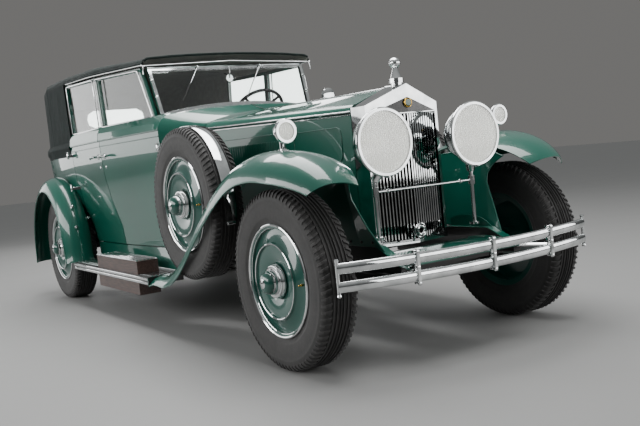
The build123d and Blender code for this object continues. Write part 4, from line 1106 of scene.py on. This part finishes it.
# Inside, a window winder with its crank and knob
def doorFittings(door, sign):
    fittings = newShape()
    x1, x2, z = door["lining"][1][0], door["lining"][1][1], doorParts["winderZ"]
    x = (x1 + x2) / 2
    y = sideY(x, z) - 56
    lathed(fittings, (x, sign * (y + 4), z), (0, -sign, 0), doorParts["winder"], 20)
    rod(fittings, [(x, sign * (y - 16), z), (x + 70, sign * (y - 18), z - 14)], 5)
    return lathed(fittings, (x + 70, sign * (y - 10), z - 14), (0, -sign, 0), doorParts["winderKnob"], 14)


for end, door in doors.items():
    for side, sign in both():
        body, label = f"{end}_{side}_door", f"{end}_{side}"
        addPiece(f"window_frame_{label}", windowFrame(door, sign), body, chrome, 50)
        addPiece(f"door_handle_{label}", doorHandle(door, sign), body, chrome, 40)
        waist = newShape()
        x1, x2 = door["waist"]
        for z, wide, tall in bodySide["beads"]:
            run = [x1 + (x2 - x1) * k / 10 for k in range(11)]
            strip(waist, [(x, sign * (sideY(x, z) + 1), z) for x in run], wide, tall)
        addPiece(f"waist_beads_{label}", waist, body, bodyPaint, 50)
        addPiece(f"door_hinges_{label}", doorHinges(door, sign), body, chrome, 40)
        lining = doorLining(door, sign)
        addPiece(f"door_lining_{label}", lining, body, leather, 60, outward=False)
        addPiece(f"door_fittings_{label}", doorFittings(door, sign), body, chrome, 40)

# The lowest rear hinge's knob, and knobs on the lip of the rear fender
fenderKnobs = {
    "places": (
        (-3400, 688, 700, (0.4, 1, 0)), (-3347, 822, 640, (1, 0.3, 0)), (-3395, 822, 800, (1, 0.3, 0.4)),
    ),
    "outline": [(0, 7), (10, 6), (12, 11), (20, 14), (28, 11), (32, 0.5)],
}
knobs = newShape()
for sign in (1, -1):
    for x, y, z, (ahead, out, up) in fenderKnobs["places"]:
        lathed(knobs, (x, sign * y, z), (ahead, sign * out, up), fenderKnobs["outline"], 18)
addPiece("fender_knobs", knobs, "body", chrome, 40)
print("doors dressed:", 2 * len(doors))

# Hood: hinge on the ridge, bright line along each hinge edge, catches, raised panels and louvres on the sides
hood = {
    "front": -86, "length": 1338, "halfFront": 240, "widening": 216, "sideWidening": 205, "edgeFront": 1236,
    "edgeRise": 32, "catches": (0.14, 0.5, 0.86),
    "panels": ((-170, -560, 990, 1170), (-640, -1330, 960, 1180)), "panelCorner": 34, "louvres": 24,
    "louvrePitch": 24, "louvreStart": (-710, 340, 1070), "louvreToeOut": 0.157,
    "catchKnob": [(0, 9), (8, 8), (12, 10), (16, 7), (17, 0.5)],
}


def hoodEdge(t, sign, z, out=1.5):
    y = hood["halfFront"] + hood["widening"] * t + out
    return (hood["front"] - hood["length"] * t, sign * y, hood["edgeFront"] + hood["edgeRise"] * t + z)


# A rounded field on the leaning hood side
def hoodPanelLoop(sign, x1, x2, z1, z2):
    loop, corner = [], hood["panelCorner"]
    turns = ((x2 + corner, z1 + corner, 180), (x1 - corner, z1 + corner, 270))
    turns += ((x1 - corner, z2 - corner, 0), (x2 + corner, z2 - corner, 90))
    for middleX, middleZ, start in turns:
        for a in range(start, start + 91, 18):
            x, z = middleX + corner * math.cos(math.radians(a)), middleZ + corner * math.sin(math.radians(a))
            t = (hood["front"] - x) / hood["length"]
            top, low = hood["halfFront"] + hood["widening"] * t, hood["halfFront"] + hood["sideWidening"] * t
            loop.append((x, sign * (low + (top - low) * (z - 610) / 630 + 1.2), z))
    return loop


ridge = rod(newShape(), [(-84, 0, 1357), (-755, 0, 1367), (-1426, 0, 1377)], 4.2, 12)
strip(ridge, [(-1440, 0, 1381), (-1530, 0, 1404), (-1614, 0, 1433)], 9, 5)
addPiece("hood_ridge_hinge", ridge, "body", chrome, 50)
eighths = [k / 8 for k in range(9)]
louvre = grow(
    newShape(), [(-5, 0, -70), (5, 0, -70), (-5, 0, 70), (5, 0, 70), (-5, 9, -62), (-5, 9, 62)],
    [(0, 4, 5, 2), (0, 1, 4), (2, 5, 3), (4, 1, 3, 5)],
)
for side, sign in both():
    strips = strip(newShape(), [hoodEdge(t, sign, 9) for t in eighths], 5, 7)
    strip(strips, [(-90 - 1330 * t, sign * (13 + 9 * t), 1354.5 + 20 * t) for t in eighths], 7, 4)
    addPiece(f"hood_top_strips_{side}", strips, f"hood_{side}", chrome, 50)
    sides = strip(newShape(), [hoodEdge(t, sign, -10) for t in eighths], 5, 6)
    for t in hood["catches"]:
        x, _, z = hoodEdge(t, sign, -330)
        y = sign * (hood["halfFront"] + hood["sideWidening"] * t)
        bevelled(sides, (x - 16, y - sign, z - 34), (x + 16, y + sign * 8, z + 34), 4)
        lathed(sides, (x, y + sign * 8, z + 12), (0, sign, 0), hood["catchKnob"], 14)
    addPiece(f"hood_catches_{side}", sides, "body", chrome, 40)
    panel = newShape()
    for field in hood["panels"]:
        strip(panel, hoodPanelLoop(sign, *field), 3.5, 9, (0, sign, 0), True)
    addPiece(f"hood_panel_beads_{side}", panel, "body", bodyPaint, 60)
    x, y, z = hood["louvreStart"]
    pitch = hood["louvrePitch"]
    addCopies(
        f"hood_louvres_{side}", louvre if sign > 0 else flipped(louvre), hood["louvres"], (0, 0, 0),
        (-pitch, sign * pitch * hood["louvreToeOut"], 0), (x, sign * y, z), "body", bodyPaint,
    )

# Windscreen: wipers hung from the header, turned brackets on the posts, and the mirrors
screen = {
    "foot": (-1800, 0, 1395), "head": (-1916, 0, 1738), "wiperY": 250, "brackets": (140, 262),
    "bladeSize": (4, 12), "insideMirror": [(0, 26), (5, 27), (9, 24), (10, 0.5)],
    "outsideMirror": [(-14, 8), (-11, 44), (-4, 58), (4, 60), (6, 56), (2, 0.5)],
}
foot, head = Vector(screen["foot"]), Vector(screen["head"])
lean = (head - foot).normalized()
frontward = Vector((lean.z, 0, -lean.x))
screenBits, blades = newShape(), newShape()
for sign in (1, -1):
    pivot = head + Vector((0, sign * screen["wiperY"], 0))
    top = pivot - lean * 8 + frontward * 22
    tip = pivot + Vector((0, -130, 0)) - lean * 205 + frontward * 14
    rod(screenBits, [top - frontward * 30, top], 6)
    lathed(screenBits, top - frontward * 6, frontward, [(0, 12), (10, 12), (14, 8), (15, 0.5)], 16)
    rod(screenBits, [top, top + (tip - top) * 0.62], 2.6)
    for along in screen["brackets"]:
        spot = foot + Vector((0, sign * (590 + along * 0.07), 0)) + lean * along + frontward * 14
        lathed(screenBits, spot, frontward, [(0, 10), (6, 10), (10, 7), (11, 0.5)], 14)
    bladeTop = pivot + Vector((0, -45, 0)) - lean * 70 + frontward * 16
    bladeTip = pivot + Vector((0, -170, 0)) - lean * 262 + frontward * 14
    strip(blades, [bladeTop, bladeTip], *screen["bladeSize"], tuple(frontward))
addPiece("screen_fittings", screenBits, "body", chrome, 40)
addPiece("wiper_blades", blades, "body", rubber, 40)
mirrorBits = lathed(newShape(), (-1906, 0, 1650), (-1, 0, 0), screen["insideMirror"], 28)
rod(mirrorBits, [(-1900, 0, 1735), (-1896, 0, 1700), (-1902, 0, 1652)], 4)
addPiece("inside_mirror", mirrorBits, "body", chrome, 40)
outerMirror = lathed(newShape(), (-1772, 752, 1475), (-1, 0, 0), screen["outsideMirror"], 32)
rod(outerMirror, smoothLine([(-1780, 640, 1400), (-1776, 690, 1432), (-1766, 748, 1462)], 5), 5)
addPiece("door_post_mirror", outerMirror, "body", chrome, 40)
print("hood and windscreen ready")


# Seats: every pad is blown up from a slightly smaller block, held at its sewn channels and at its base.
# Each pad gives its low and high corner, edge, face, lean and foot; each pipe its ends, half width and level
seats = {
    "pads": {
        "front_seat_cushion": ((-2840, -490, 592), (-2310, 490, 860), 42, "top"),
        "front_seat_back": ((-65, -490, 0), (65, 490, 590), 40, "front", 10, (-2830, 0, 700)),
        "rear_seat_cushion": ((-3960, -515, 768), (-3380, 515, 930), 42, "top"),
        "rear_seat_back": ((-75, -515, 0), (75, 515, 580), 45, "front", 12, (-3950, 0, 800)),
    },
    "pipes": (
        (-2820, -2318, 487, 838), (-3940, -3388, 512, 908), (22, 572, 487, 44, 10, (-2830, 0, 700), True),
        (22, 562, 512, 54, 12, (-3950, 0, 800), True),
    ),
    "blockStep": 13, "quickStep": 26, "swell": 14, "seamHalf": 14, "seamDepth": 0.007, "pinnedHalf": 5.3,
    "pressure": 4.0, "furthest": 26, "frames": 20, "fill": 0.8, "channels": 10, "pipe": 5.0,
    "pipeCorner": 60,
}


def applyFirst(piece):
    with bpy.context.temp_override(object=piece, active_object=piece, selected_objects=[piece]):
        bpy.ops.object.modifier_apply(modifier=piece.modifiers[0].name)


# A block with rounded edges, cut into an even grid
def filledBlock(name, low, high, corner):
    form = bmesh.new()
    bmesh.ops.create_cube(form, size=1)
    for v in form.verts:
        v.co = Vector([(a + (c + 0.5) * (b - a)) / 1000 for a, b, c in zip(low, high, v.co)])
    edges = list(form.edges)
    bmesh.ops.bevel(form, geom=edges, offset=corner / 1000, segments=4, affect="EDGES", profile=0.5)
    mesh = bpy.data.meshes.new(name)
    form.to_mesh(mesh)
    form.free()
    piece = bpy.data.objects.new(name, mesh)
    bpy.context.collection.objects.link(piece)
    grid = piece.modifiers.new("even_grid", "REMESH")
    grid.mode = "VOXEL"
    grid.voxel_size = seats["blockStep"] / 1000
    applyFirst(piece)
    return piece


# Cloth blown up by its stuffing, with no point let further out than the furthest
def stuff(piece, pinned):
    before = [v.co.copy() for v in piece.data.vertices]
    group = piece.vertex_groups.new(name="sewn")
    group.add(pinned, 1.0, "REPLACE")
    cloth = piece.modifiers.new("stuffing", "CLOTH")
    cloth.settings.quality = 4
    cloth.settings.mass = 0.4
    cloth.settings.tension_stiffness = cloth.settings.compression_stiffness = 12
    cloth.settings.bending_stiffness = 0.6
    cloth.settings.use_pressure = True
    cloth.settings.uniform_pressure_force = seats["pressure"]
    cloth.settings.effector_weights.gravity = 0
    cloth.settings.vertex_group_mass = "sewn"
    cloth.collision_settings.use_collision = False
    for k in range(1, seats["frames"] + 1):
        bpy.context.scene.frame_set(k)
    applyFirst(piece)
    bpy.context.scene.frame_set(1)
    for v, old in zip(piece.data.vertices, before):
        moved = v.co - old
        if moved.length > seats["furthest"] / 1000:
            v.co = old + moved.normalized() * seats["furthest"] / 1000
    piece.vertex_groups.clear()


# A seat's point turned back about its foot
def leanedBack(x, y, z, lean, foot):
    a = math.radians(lean)
    return (x * math.cos(a) - z * math.sin(a) + foot[0], y, x * math.sin(a) + z * math.cos(a) + foot[2])


def sewnPad(name, low, high, corner, face, lean=0.0, foot=(0, 0, 0)):
    swell = seats["swell"]
    axis = 2 if face == "top" else 0
    top = [high[k] - (swell if k == axis or (face == "top" and k == 0) else 3) for k in range(3)]
    bottom = [low[k] + (3 if k != axis else 0) for k in range(3)]
    piece = filledBlock(name, bottom, top, corner)
    pitch = (top[1] - bottom[1]) / seats["channels"]
    pinned = []
    for v in piece.data.vertices:
        x, y, z = (c * 1000 for c in v.co)
        if face == "top":
            free = z > bottom[2] + corner and x > bottom[0] + corner
        else:
            free = x > bottom[0] + corner * 0.7
        seam = abs((y - bottom[1] + pitch / 2) % pitch - pitch / 2)
        upper = (x, y, z)[axis] > top[axis] - corner
        if upper and seam < seats["seamHalf"]:
            v.co[axis] -= seats["seamDepth"] * math.cos(math.pi * seam / (2 * seats["seamHalf"])) ** 2
        if not free or (upper and seam < seats["pinnedHalf"] and abs(y) < top[1] - corner):
            pinned.append(v.index)
    stuff(piece, pinned)
    smooth = piece.modifiers.new("round", "SUBSURF")
    smooth.levels = smooth.render_levels = 1
    applyFirst(piece)
    for v in piece.data.vertices:
        x, y, z = (c * 1000 for c in v.co)
        v.co = at(*leanedBack(x, y, z, lean, foot))
    piece.data.materials.append(leather)
    for polygon in piece.data.polygons:
        polygon.use_smooth = True
    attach(piece, "body")
    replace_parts(piece, "seats")


for name, values in seats["pads"].items():
    sewnPad(name, *values)


# Piping sewn round the top edge of each cushion and the face of each back
def pipeRound(piping, low, high, half, level, lean=0.0, foot=(0, 0, 0), upright=False):
    points, corner = [], seats["pipeCorner"]
    turns = ((high - corner, half - corner, 0), (low + corner, half - corner, 90))
    turns += ((low + corner, corner - half, 180), (high - corner, corner - half, 270))
    for middleU, middleV, start in turns:
        for k in range(5):
            a = math.radians(start + 22.5 * k)
            points.append((middleU + corner * math.cos(a), middleV + corner * math.sin(a)))
    a = math.radians(lean)
    flat = [(level, v, u) if upright else (u, v, level) for u, v in points]
    line = [leanedBack(*p, lean, foot) for p in flat]
    up = (math.cos(a), 0, math.sin(a)) if upright else (0, 0, 1)
    rod(piping, line, seats["pipe"], 8, closed=True, up=up)


piping = newShape()
for values in seats["pipes"]:
    pipeRound(piping, *values)
addPiece("seat_piping", piping, "body", leather, 60)
print("seats stuffed and piped")

# Instrument board: veneered face, dials in plated rings, knobs and the glove door
dash = {
    "x": -1756, "half": 540, "low": 1252, "high": 1378, "dialZ": 1316,
    "dials": ((0, 44), (-112, 36), (112, 36), (-206, 30), (206, 30)),
    "knobs": (-320, -280, 290, 330), "knobZ": 1296, "gloveDoor": (-520, -370, 1264, 1366), "marks": 9,
    "knob": [(0, 9), (3, 9), (4, 3.5), (16, 3.5), (18, 9), (24, 10), (28, 6), (29, 1)],
}
dashX = dash["x"]
low, high = (dashX - 7, -dash["half"], dash["low"]), (dashX - 0.5, dash["half"], dash["high"])
addPiece("instrument_board", bevelled(newShape(), low, high, 3), "body", wood)
dialRings, dialFaces, dialHands = newShape(), newShape(), newShape()


# A straight mark on a dial, at an angle from upright and between two distances from the middle
def dialMark(x, y, angle, near, far, thick):
    u, v, z = math.sin(angle), math.cos(angle), dash["dialZ"]
    rod(dialHands, [(x, y - u * near, z + v * near), (x, y - u * far, z + v * far)], thick, 6, up=(1, 0, 0))


for y, radius in dash["dials"]:
    z, inside = dash["dialZ"], radius - 2
    ring = [(0, radius + 7), (4, radius + 6), (7, radius + 1), (6, inside), (2, inside), (0, inside)]
    lathed(dialRings, (dashX - 6, y, z), (-1, 0, 0), ring, 36)
    lathed(dialFaces, (dashX - 7.5, y, z), (-1, 0, 0), [(0, inside), (1.4, inside), (1.5, 1)], 36)
    for k in range(dash["marks"]):
        dialMark(dashX - 9.2, y, math.radians(-120 + 30 * k), radius - 11, radius - 5, 0.9)
    dialMark(dashX - 10, y, math.radians(-70 + radius * 2.4), 0, radius * 0.68, 1.1)
    lathed(dialHands, (dashX - 9, y, z), (-1, 0, 0), [(0, 3.5), (2, 3.5), (3, 0.5)], 12)
addPiece("dial_rings", dialRings, "body", chrome)
addPiece("dial_faces", dialFaces, "body", plateWhite)
addPiece("dial_hands", dialHands, "body", bakelite)
knobs = newShape()
for y in dash["knobs"]:
    lathed(knobs, (dashX - 6, y, dash["knobZ"]), (-1, 0, 0), dash["knob"], 16)
addPiece("board_knobs", knobs, "body", bakelite)
y1, y2, z1, z2 = dash["gloveDoor"]
corners = [(dashX - 8, y1, z1), (dashX - 8, y2, z1), (dashX - 8, y2, z2), (dashX - 8, y1, z2)]
gloveDoor = strip(newShape(), corners, 3, 3, (1, 0, 0), True)
lathed(gloveDoor, (dashX - 6, y2 - 15, 1315), (-1, 0, 0), [(0, 6), (6, 6), (10, 9), (14, 8), (16, 1)], 16)
addPiece("glove_door_bead", gloveDoor, "body", chrome)

# Steering gear: the leaning column's jacket, its clamp and the horn button
column = {
    "lean": 40, "wheelCentre": (-2215, 370, 1405),
    "jacket": [(0, 20), (0, 25), (12, 27), (30, 24), (640, 24), (640, 20)],
    "clamp": [(0, 24.5), (0, 31), (24, 31), (24, 24.5)],
    "hubBack": [(0, 36), (8, 33), (26, 24), (44, 21), (44, 10)],
    "hubFace": [(0, 37), (4, 37), (8, 30), (12, 26), (14, 22), (19, 19), (22, 12), (23, 1)],
}
lean = math.radians(column["lean"])
wheelCentre, downColumn = Vector(column["wheelCentre"]), Vector((math.cos(lean), 0, -math.sin(lean)))
jacket = lathed(newShape(), wheelCentre + downColumn * 64, downColumn, column["jacket"], 24)
addPiece("column_jacket", jacket, "body", blackPaint)
clamp = lathed(newShape(), wheelCentre + downColumn * 540, downColumn, column["clamp"], 24)
strip(clamp, [wheelCentre + downColumn * 552 + Vector((8, 0, 28)), (dashX + 8, 370, 1248)], 34, 6, (0, 1, 0))
addPiece("column_clamp", clamp, "body", chrome)
hub = lathed(newShape(), wheelCentre - downColumn * 14, -downColumn, column["hubFace"], 32)
lathed(hub, wheelCentre + downColumn * 15, downColumn, column["hubBack"], 32)
addPiece("wheel_hub_cap", hub, "steering", chrome)

# Pedals, hand lever and gear lever, which stand on the floor
controls = {
    "pedals": (262, 438), "padZ": 742, "padHalf": 30, "padRibs": 5,
    "gearLever": ((-2092, 40, 640), (-2112, 42, 800), (-2160, 52, 960), (-2198, 60, 1052)),
    "handLever": ((-2060, -60, 592), (-2085, -60, 780), (-2130, -60, 900), (-2160, -60, 948)),
    "gearGate": [(0, 52), (6, 52), (9, 46), (24, 30), (60, 16), (66, 9), (66, 2)],
    "gearKnob": [(0, 7), (6, 12), (18, 19), (34, 21), (46, 15), (51, 5), (52, 1)],
    "handGrip": [(0, 8), (4, 13), (30, 14), (90, 12), (100, 8), (103, 1)],
}
levers, pads = newShape(), newShape()
for y in controls["pedals"]:
    z, half = controls["padZ"], controls["padHalf"]
    rod(levers, [(-1786, y, 604), (-1800, y, 668), (-1838, y, z - 8)], 6.5, 10)
    bevelled(pads, (-1852, y - half, z - 8), (-1828, y + half, z + 4), 4)
    for k in range(controls["padRibs"]):
        bevelled(pads, (-1850 + 5 * k, y - half + 3, z + 3), (-1848 + 5 * k, y + half - 3, z + 6), 0.8)
rod(levers, [(-1790, 190, 600), (-1806, 190, 652)], 5, 10)
bevelled(pads, (-1850, 176, 648), (-1802, 204, 656), 4)
lathed(levers, (-2085, 40, 589), (-0.12, 0, 1), controls["gearGate"], 28)
rod(levers, smoothLine(controls["gearLever"], 5), 6.5, 10)
rod(levers, smoothLine(controls["handLever"], 5), 7, 10)
bevelled(levers, (-2098, -84, 588.5), (-2022, -46, 600), 3)
addPiece("floor_levers", levers, "body", chrome)
addPiece("pedal_pads", pads, "body", mat)
grips = lathed(newShape(), (-2197, 60, 1046), (-0.38, 0.08, 0.92), controls["gearKnob"], 24)
lathed(grips, (-2158, -60, 944), (-0.53, 0, 0.85), controls["handGrip"], 20)
addPiece("lever_grips", grips, "body", bakelite)

# Carpets laid in the two footwells, with a bound edge and a little unevenness under foot
carpets = {
    "front_carpet": (-1800, -2304, 505), "rear_carpet": (-2846, -3290, 535), "floorZ": 589, "pile": 4.6,
    "across": 49, "along": 25, "boundEdge": 18, "boundLift": 1.6, "unevenness": 0.5,
}


def laidCarpet(name, x1, x2, half):
    across, along = carpets["across"], carpets["along"]
    corners = []
    for level in (0, 1):
        for r in range(along):
            for c in range(across):
                u, v = r / (along - 1), c / (across - 1)
                x, y = x1 + (x2 - x1) * u, -half + 2 * half * v
                inside = min(min(u, 1 - u) * abs(x2 - x1), min(v, 1 - v) * 2 * half)
                lift = carpets["unevenness"] * math.sin(x / 41.0) * math.cos(y / 57.0)
                lift += carpets["boundLift"] * (inside < carpets["boundEdge"])
                corners.append((x, y, carpets["floorZ"] + level * (carpets["pile"] + lift)))
    under, count = gridFaces(along, across), along * across
    over = [tuple(i + count for i in face)[::-1] for face in under]
    rim = list(range(across)) + [r * across + across - 1 for r in range(1, along)]
    rim += [(along - 1) * across + c for c in range(across - 2, -1, -1)]
    rim += [r * across for r in range(along - 2, 0, -1)]
    walls = [(a, b, b + count, a + count) for a, b in zip(rim, rim[1:] + rim[:1])]
    piece = addPiece(name, grow(newShape(), corners, under + over + walls), "body", carpet, 50)


for name in ("front_carpet", "rear_carpet"):
    laidCarpet(name, *carpets[name])

# Kick plates on the sills, each from front corner to rear corner, and a robe rail behind the front seat
trim = {
    "sills": ((-1960, 530, -2460, 562), (-2900, 548, -3240, 572)), "sillZ": (590.3, 592.6),
    "robeRail": (
        (-2968, -330, 1120), (-3000, -318, 1116), (-3012, -280, 1114), (-3012, 280, 1114),
        (-3000, 318, 1116), (-2968, 330, 1120),
    ),
}
plates = newShape()
for side, sign in both():
    for x1, y1, x2, y2 in trim["sills"]:
        bevelled(plates, (x1, sign * y1, trim["sillZ"][0]), (x2, sign * y2, trim["sillZ"][1]), 1)
addPiece("sill_plates", plates, "body", chrome)
robe = rod(newShape(), smoothLine(trim["robeRail"], 4), 7, 10)
addPiece("robe_rail", robe, "body", leather)
print("dash, controls and carpets ready")

# Tail lamps: plated rims, domed red glasses, and a hooded number lamp over the blank plate
tail = {
    "lampCentre": (-4528, 400, 575),
    "rim": [(-6, 50), (-6, 54), (2, 54), (7, 51), (9, 46), (6, 43), (0, 43)],
    "glass": [(0.5, 43.5), (6, 43), (14, 36), (19, 24), (21.5, 10), (22, 1)], "screwRadius": 49.5,
    "screw": [(0, 4), (3, 4), (4.5, 2), (5, 0.5)], "plateX": -4500, "plate": (-240, 240, 507, 591),
    "plateEdge": 3, "numberLamp": [(0, 4), (2, 14), (8, 16), (96, 16), (102, 14), (104, 4)],
}
tailRims, tailGlasses = newShape(), newShape()
for side, sign in both():
    x, y, z = tail["lampCentre"]
    centre = (x, sign * y, z)
    lathed(tailRims, centre, (-1, 0, 0), tail["rim"], 40)
    lathed(tailGlasses, centre, (-1, 0, 0), tail["glass"], 36)
    for k in range(3):
        a = math.radians(90 + 120 * k)
        spot = (x - 6, sign * y + tail["screwRadius"] * math.cos(a), z + tail["screwRadius"] * math.sin(a))
        lathed(tailRims, spot, (-1, 0, 0), tail["screw"], 10)
addPiece("tail_lamp_rims", tailRims, "body", chrome)
addPiece("tail_lamp_glasses", tailGlasses, "body", redGlass)
x, edge, (y1, y2, z1, z2) = tail["plateX"], tail["plateEdge"], tail["plate"]
plate = bevelled(newShape(), (x + 3.5, y1, z1), (x + 1, y2, z2), 1)
addPiece("blank_number_plate", plate, "body", plateWhite)
corners = [(y1 - edge, z1 - edge), (y2 + edge, z1 - edge), (y2 + edge, z2 + edge), (y1 - edge, z2 + edge)]
plateRim = strip(newShape(), [(x, y, z) for y, z in corners], 5, 7, (1, 0, 0), True)
lathed(plateRim, (x - 7, -52, 624), (0, 1, 0), tail["numberLamp"], 20)
rod(plateRim, [(x + 4, 0, 618), (x - 7, 0, 624)], 6, 8)
addPiece("number_plate_rim", plateRim, "body", chrome)

# Beads round the front apron and the inner panels, bolt heads along their flanges, covers on the frame horns
apron = {
    "panelTop": (
        (306, 389, 536), (228, 428, 663), (158, 454, 800), (160, 466, 850), (190, 485, 896),
        (238, 510, 932), (120, 486, 992), (-330, 472, 958), (-860, 483, 640),
    ),
    "arc": ((470, 480), (440, 489), (400, 498.5), (350, 508), (290, 514), (230, 516), (160, 512), (100, 504)),
    "bead": 4.5, "halfWidth": 341, "bolts": 7, "firstBolt": (236, 406.5, 584), "boltStep": (-94, -0.4),
    "bolt": [(-3, 8), (1.2, 8), (1.3, 5), (5, 5), (5.8, 3.6), (5.9, 0.5)], "hornY": 370,
    "hornCover": ((-60, 563), (236, 563), (254, 560), (378, 503), (424, 475)), "coverSize": (54, 5),
}
apronBeads, hornCover = newShape(), newShape()
for side, sign in both():
    edge = rod(newShape(), [(x, sign * (y - 2), z) for x, y, z in apron["panelTop"]], apron["bead"], 8)
    addPiece(f"inner_panel_bead_{side}", edge, "body", bodyPaint, 60)
    x, y, z = apron["firstBolt"]
    stepX, stepY = apron["boltStep"]
    bolt = lathed(newShape(), (x, sign * y, z), (0, sign * 0.89, -0.45), apron["bolt"], 6)
    addCopies(
        f"inner_panel_bolts_{side}", bolt, apron["bolts"], (0, 0, 0), (stepX, sign * stepY, 0), (0, 0, 0),
        "body", blackPaint,
    )
    rod(apronBeads, [(x, sign * apron["halfWidth"], z + 1) for x, z in apron["arc"]], apron["bead"], 8)
    strip(hornCover, [(x, sign * apron["hornY"], z) for x, z in apron["hornCover"]], *apron["coverSize"])
rod(apronBeads, [(470, -apron["halfWidth"], 477.5), (470, apron["halfWidth"], 477.5)], apron["bead"], 8)
addPiece("frame_horn_covers", hornCover, "body", bodyPaint, 40)
addPiece("front_apron_beads", apronBeads, "body", bodyPaint, 60)

# Oval plated feet of the fender lamps
lampFoot = {
    "place": (-14, 713, 1088), "along": 1.5, "across": 0.8, "steps": 28,
    "outline": ((0, 30), (3, 29), (6, 22), (12, 12), (22, 8), (30, 7)),
}
lampFeet = newShape()
for side, sign in both():
    x, y, z = lampFoot["place"]
    foot = onNode("front_fenders", [(x, sign * y, z)], 60)[0] - Vector((0, 0, 3))
    corners = []
    for up, radius in lampFoot["outline"]:
        for u, v in roundSection(radius, lampFoot["steps"]):
            corners.append((foot.x + lampFoot["along"] * u, foot.y + lampFoot["across"] * v, foot.z + up))
    grow(lampFeet, corners, gridFaces(len(lampFoot["outline"]), lampFoot["steps"], False, True))
addPiece("fender_lamp_feet", lampFeet, "body", chrome)
print("tail lamps, apron and lamp feet ready")

# Floor and soft studio light; each light gives its place, target, width, height and power
studio = {
    "floor": "#868685", "floorHalf": 40, "low": "#545656", "high": "#e8eaea", "backdrop": "#8f8e8c",
    "strength": 0.6,
    "lights": {
        "overhead": ((0, 0, 5.0), (0, 0, 0), 7.0, 3.0, 560),
        "right_bank": ((-0.5, -7.0, 3.0), (0, 0, 0.9), 9.0, 2.2, 420),
        "front_bank": ((6.6, 4.4, 2.1), (0, 0, 0.9), 10.5, 3.0, 380),
        "wall_bank": ((-7.6, -5.2, 2.3), (-0.5, -0.8, 1.4), 8.0, 2.8, 170),
        "back_bank": ((-7.0, 3.0, 3.0), (-1, 0, 1.0), 4.0, 2.5, 160),
    },
}

# Painted studio floor: even and barely glossy
floorPaint, floorShader = newMaterial("floor_stage_finish", studio["floor"], 0.55)
varyRough(floorPaint, floorShader, objectNoise(floorPaint, 2.0).outputs["Fac"], 0.495, 0.605)
reach = studio["floorHalf"]
mesh = bpy.data.meshes.new("floor_stage")
corners = [(-reach, -reach, 0), (reach, -reach, 0), (reach, reach, 0), (-reach, reach, 0)]
mesh.from_pydata(corners, [], [(0, 1, 2, 3)])
mesh.materials.append(floorPaint)
studioFloor = bpy.data.objects.new("floor_stage", mesh)
bpy.context.collection.objects.link(studioFloor)

# Surround: bright overhead and darker at eye level for what the paint mirrors, one flat grey for the camera
world = bpy.data.worlds.new("studio")
bpy.context.scene.world = world
world.use_nodes = True
surround = world.node_tree.nodes["Background"]
generated = addNode(world, "ShaderNodeTexCoord").outputs["Generated"]
height = addNode(world, "ShaderNodeSeparateXYZ", links={"Vector": generated})
sky = addNode(world, "ShaderNodeValToRGB", links={"Fac": height.outputs["Z"]})
for stop, position, colour in zip(sky.color_ramp.elements, (0.0, 0.7), (studio["low"], studio["high"])):
    stop.position = position
    stop.color = linear(colour)
seen = addNode(
    world, "ShaderNodeMix", settings={"data_type": "RGBA"},
    links={"Factor": addNode(world, "ShaderNodeLightPath").outputs["Is Camera Ray"]},
)
world.node_tree.links.new(sky.outputs["Color"], seen.inputs["A"])
seen.inputs["B"].default_value = linear(studio["backdrop"])
world.node_tree.links.new(seen.outputs["Result"], surround.inputs["Color"])
surround.inputs["Strength"].default_value = studio["strength"]

for name, (place, target, width, tall, power) in studio["lights"].items():
    light = bpy.data.objects.new(name, bpy.data.lights.new(name, "AREA"))
    light.data.shape = "RECTANGLE"
    light.data.size = width
    light.data.size_y = tall
    light.data.energy = power
    light.location = place
    light.rotation_euler = (Vector(target) - Vector(place)).to_track_quat("-Z", "Y").to_euler()
    bpy.context.collection.objects.link(light)
print("studio lit")
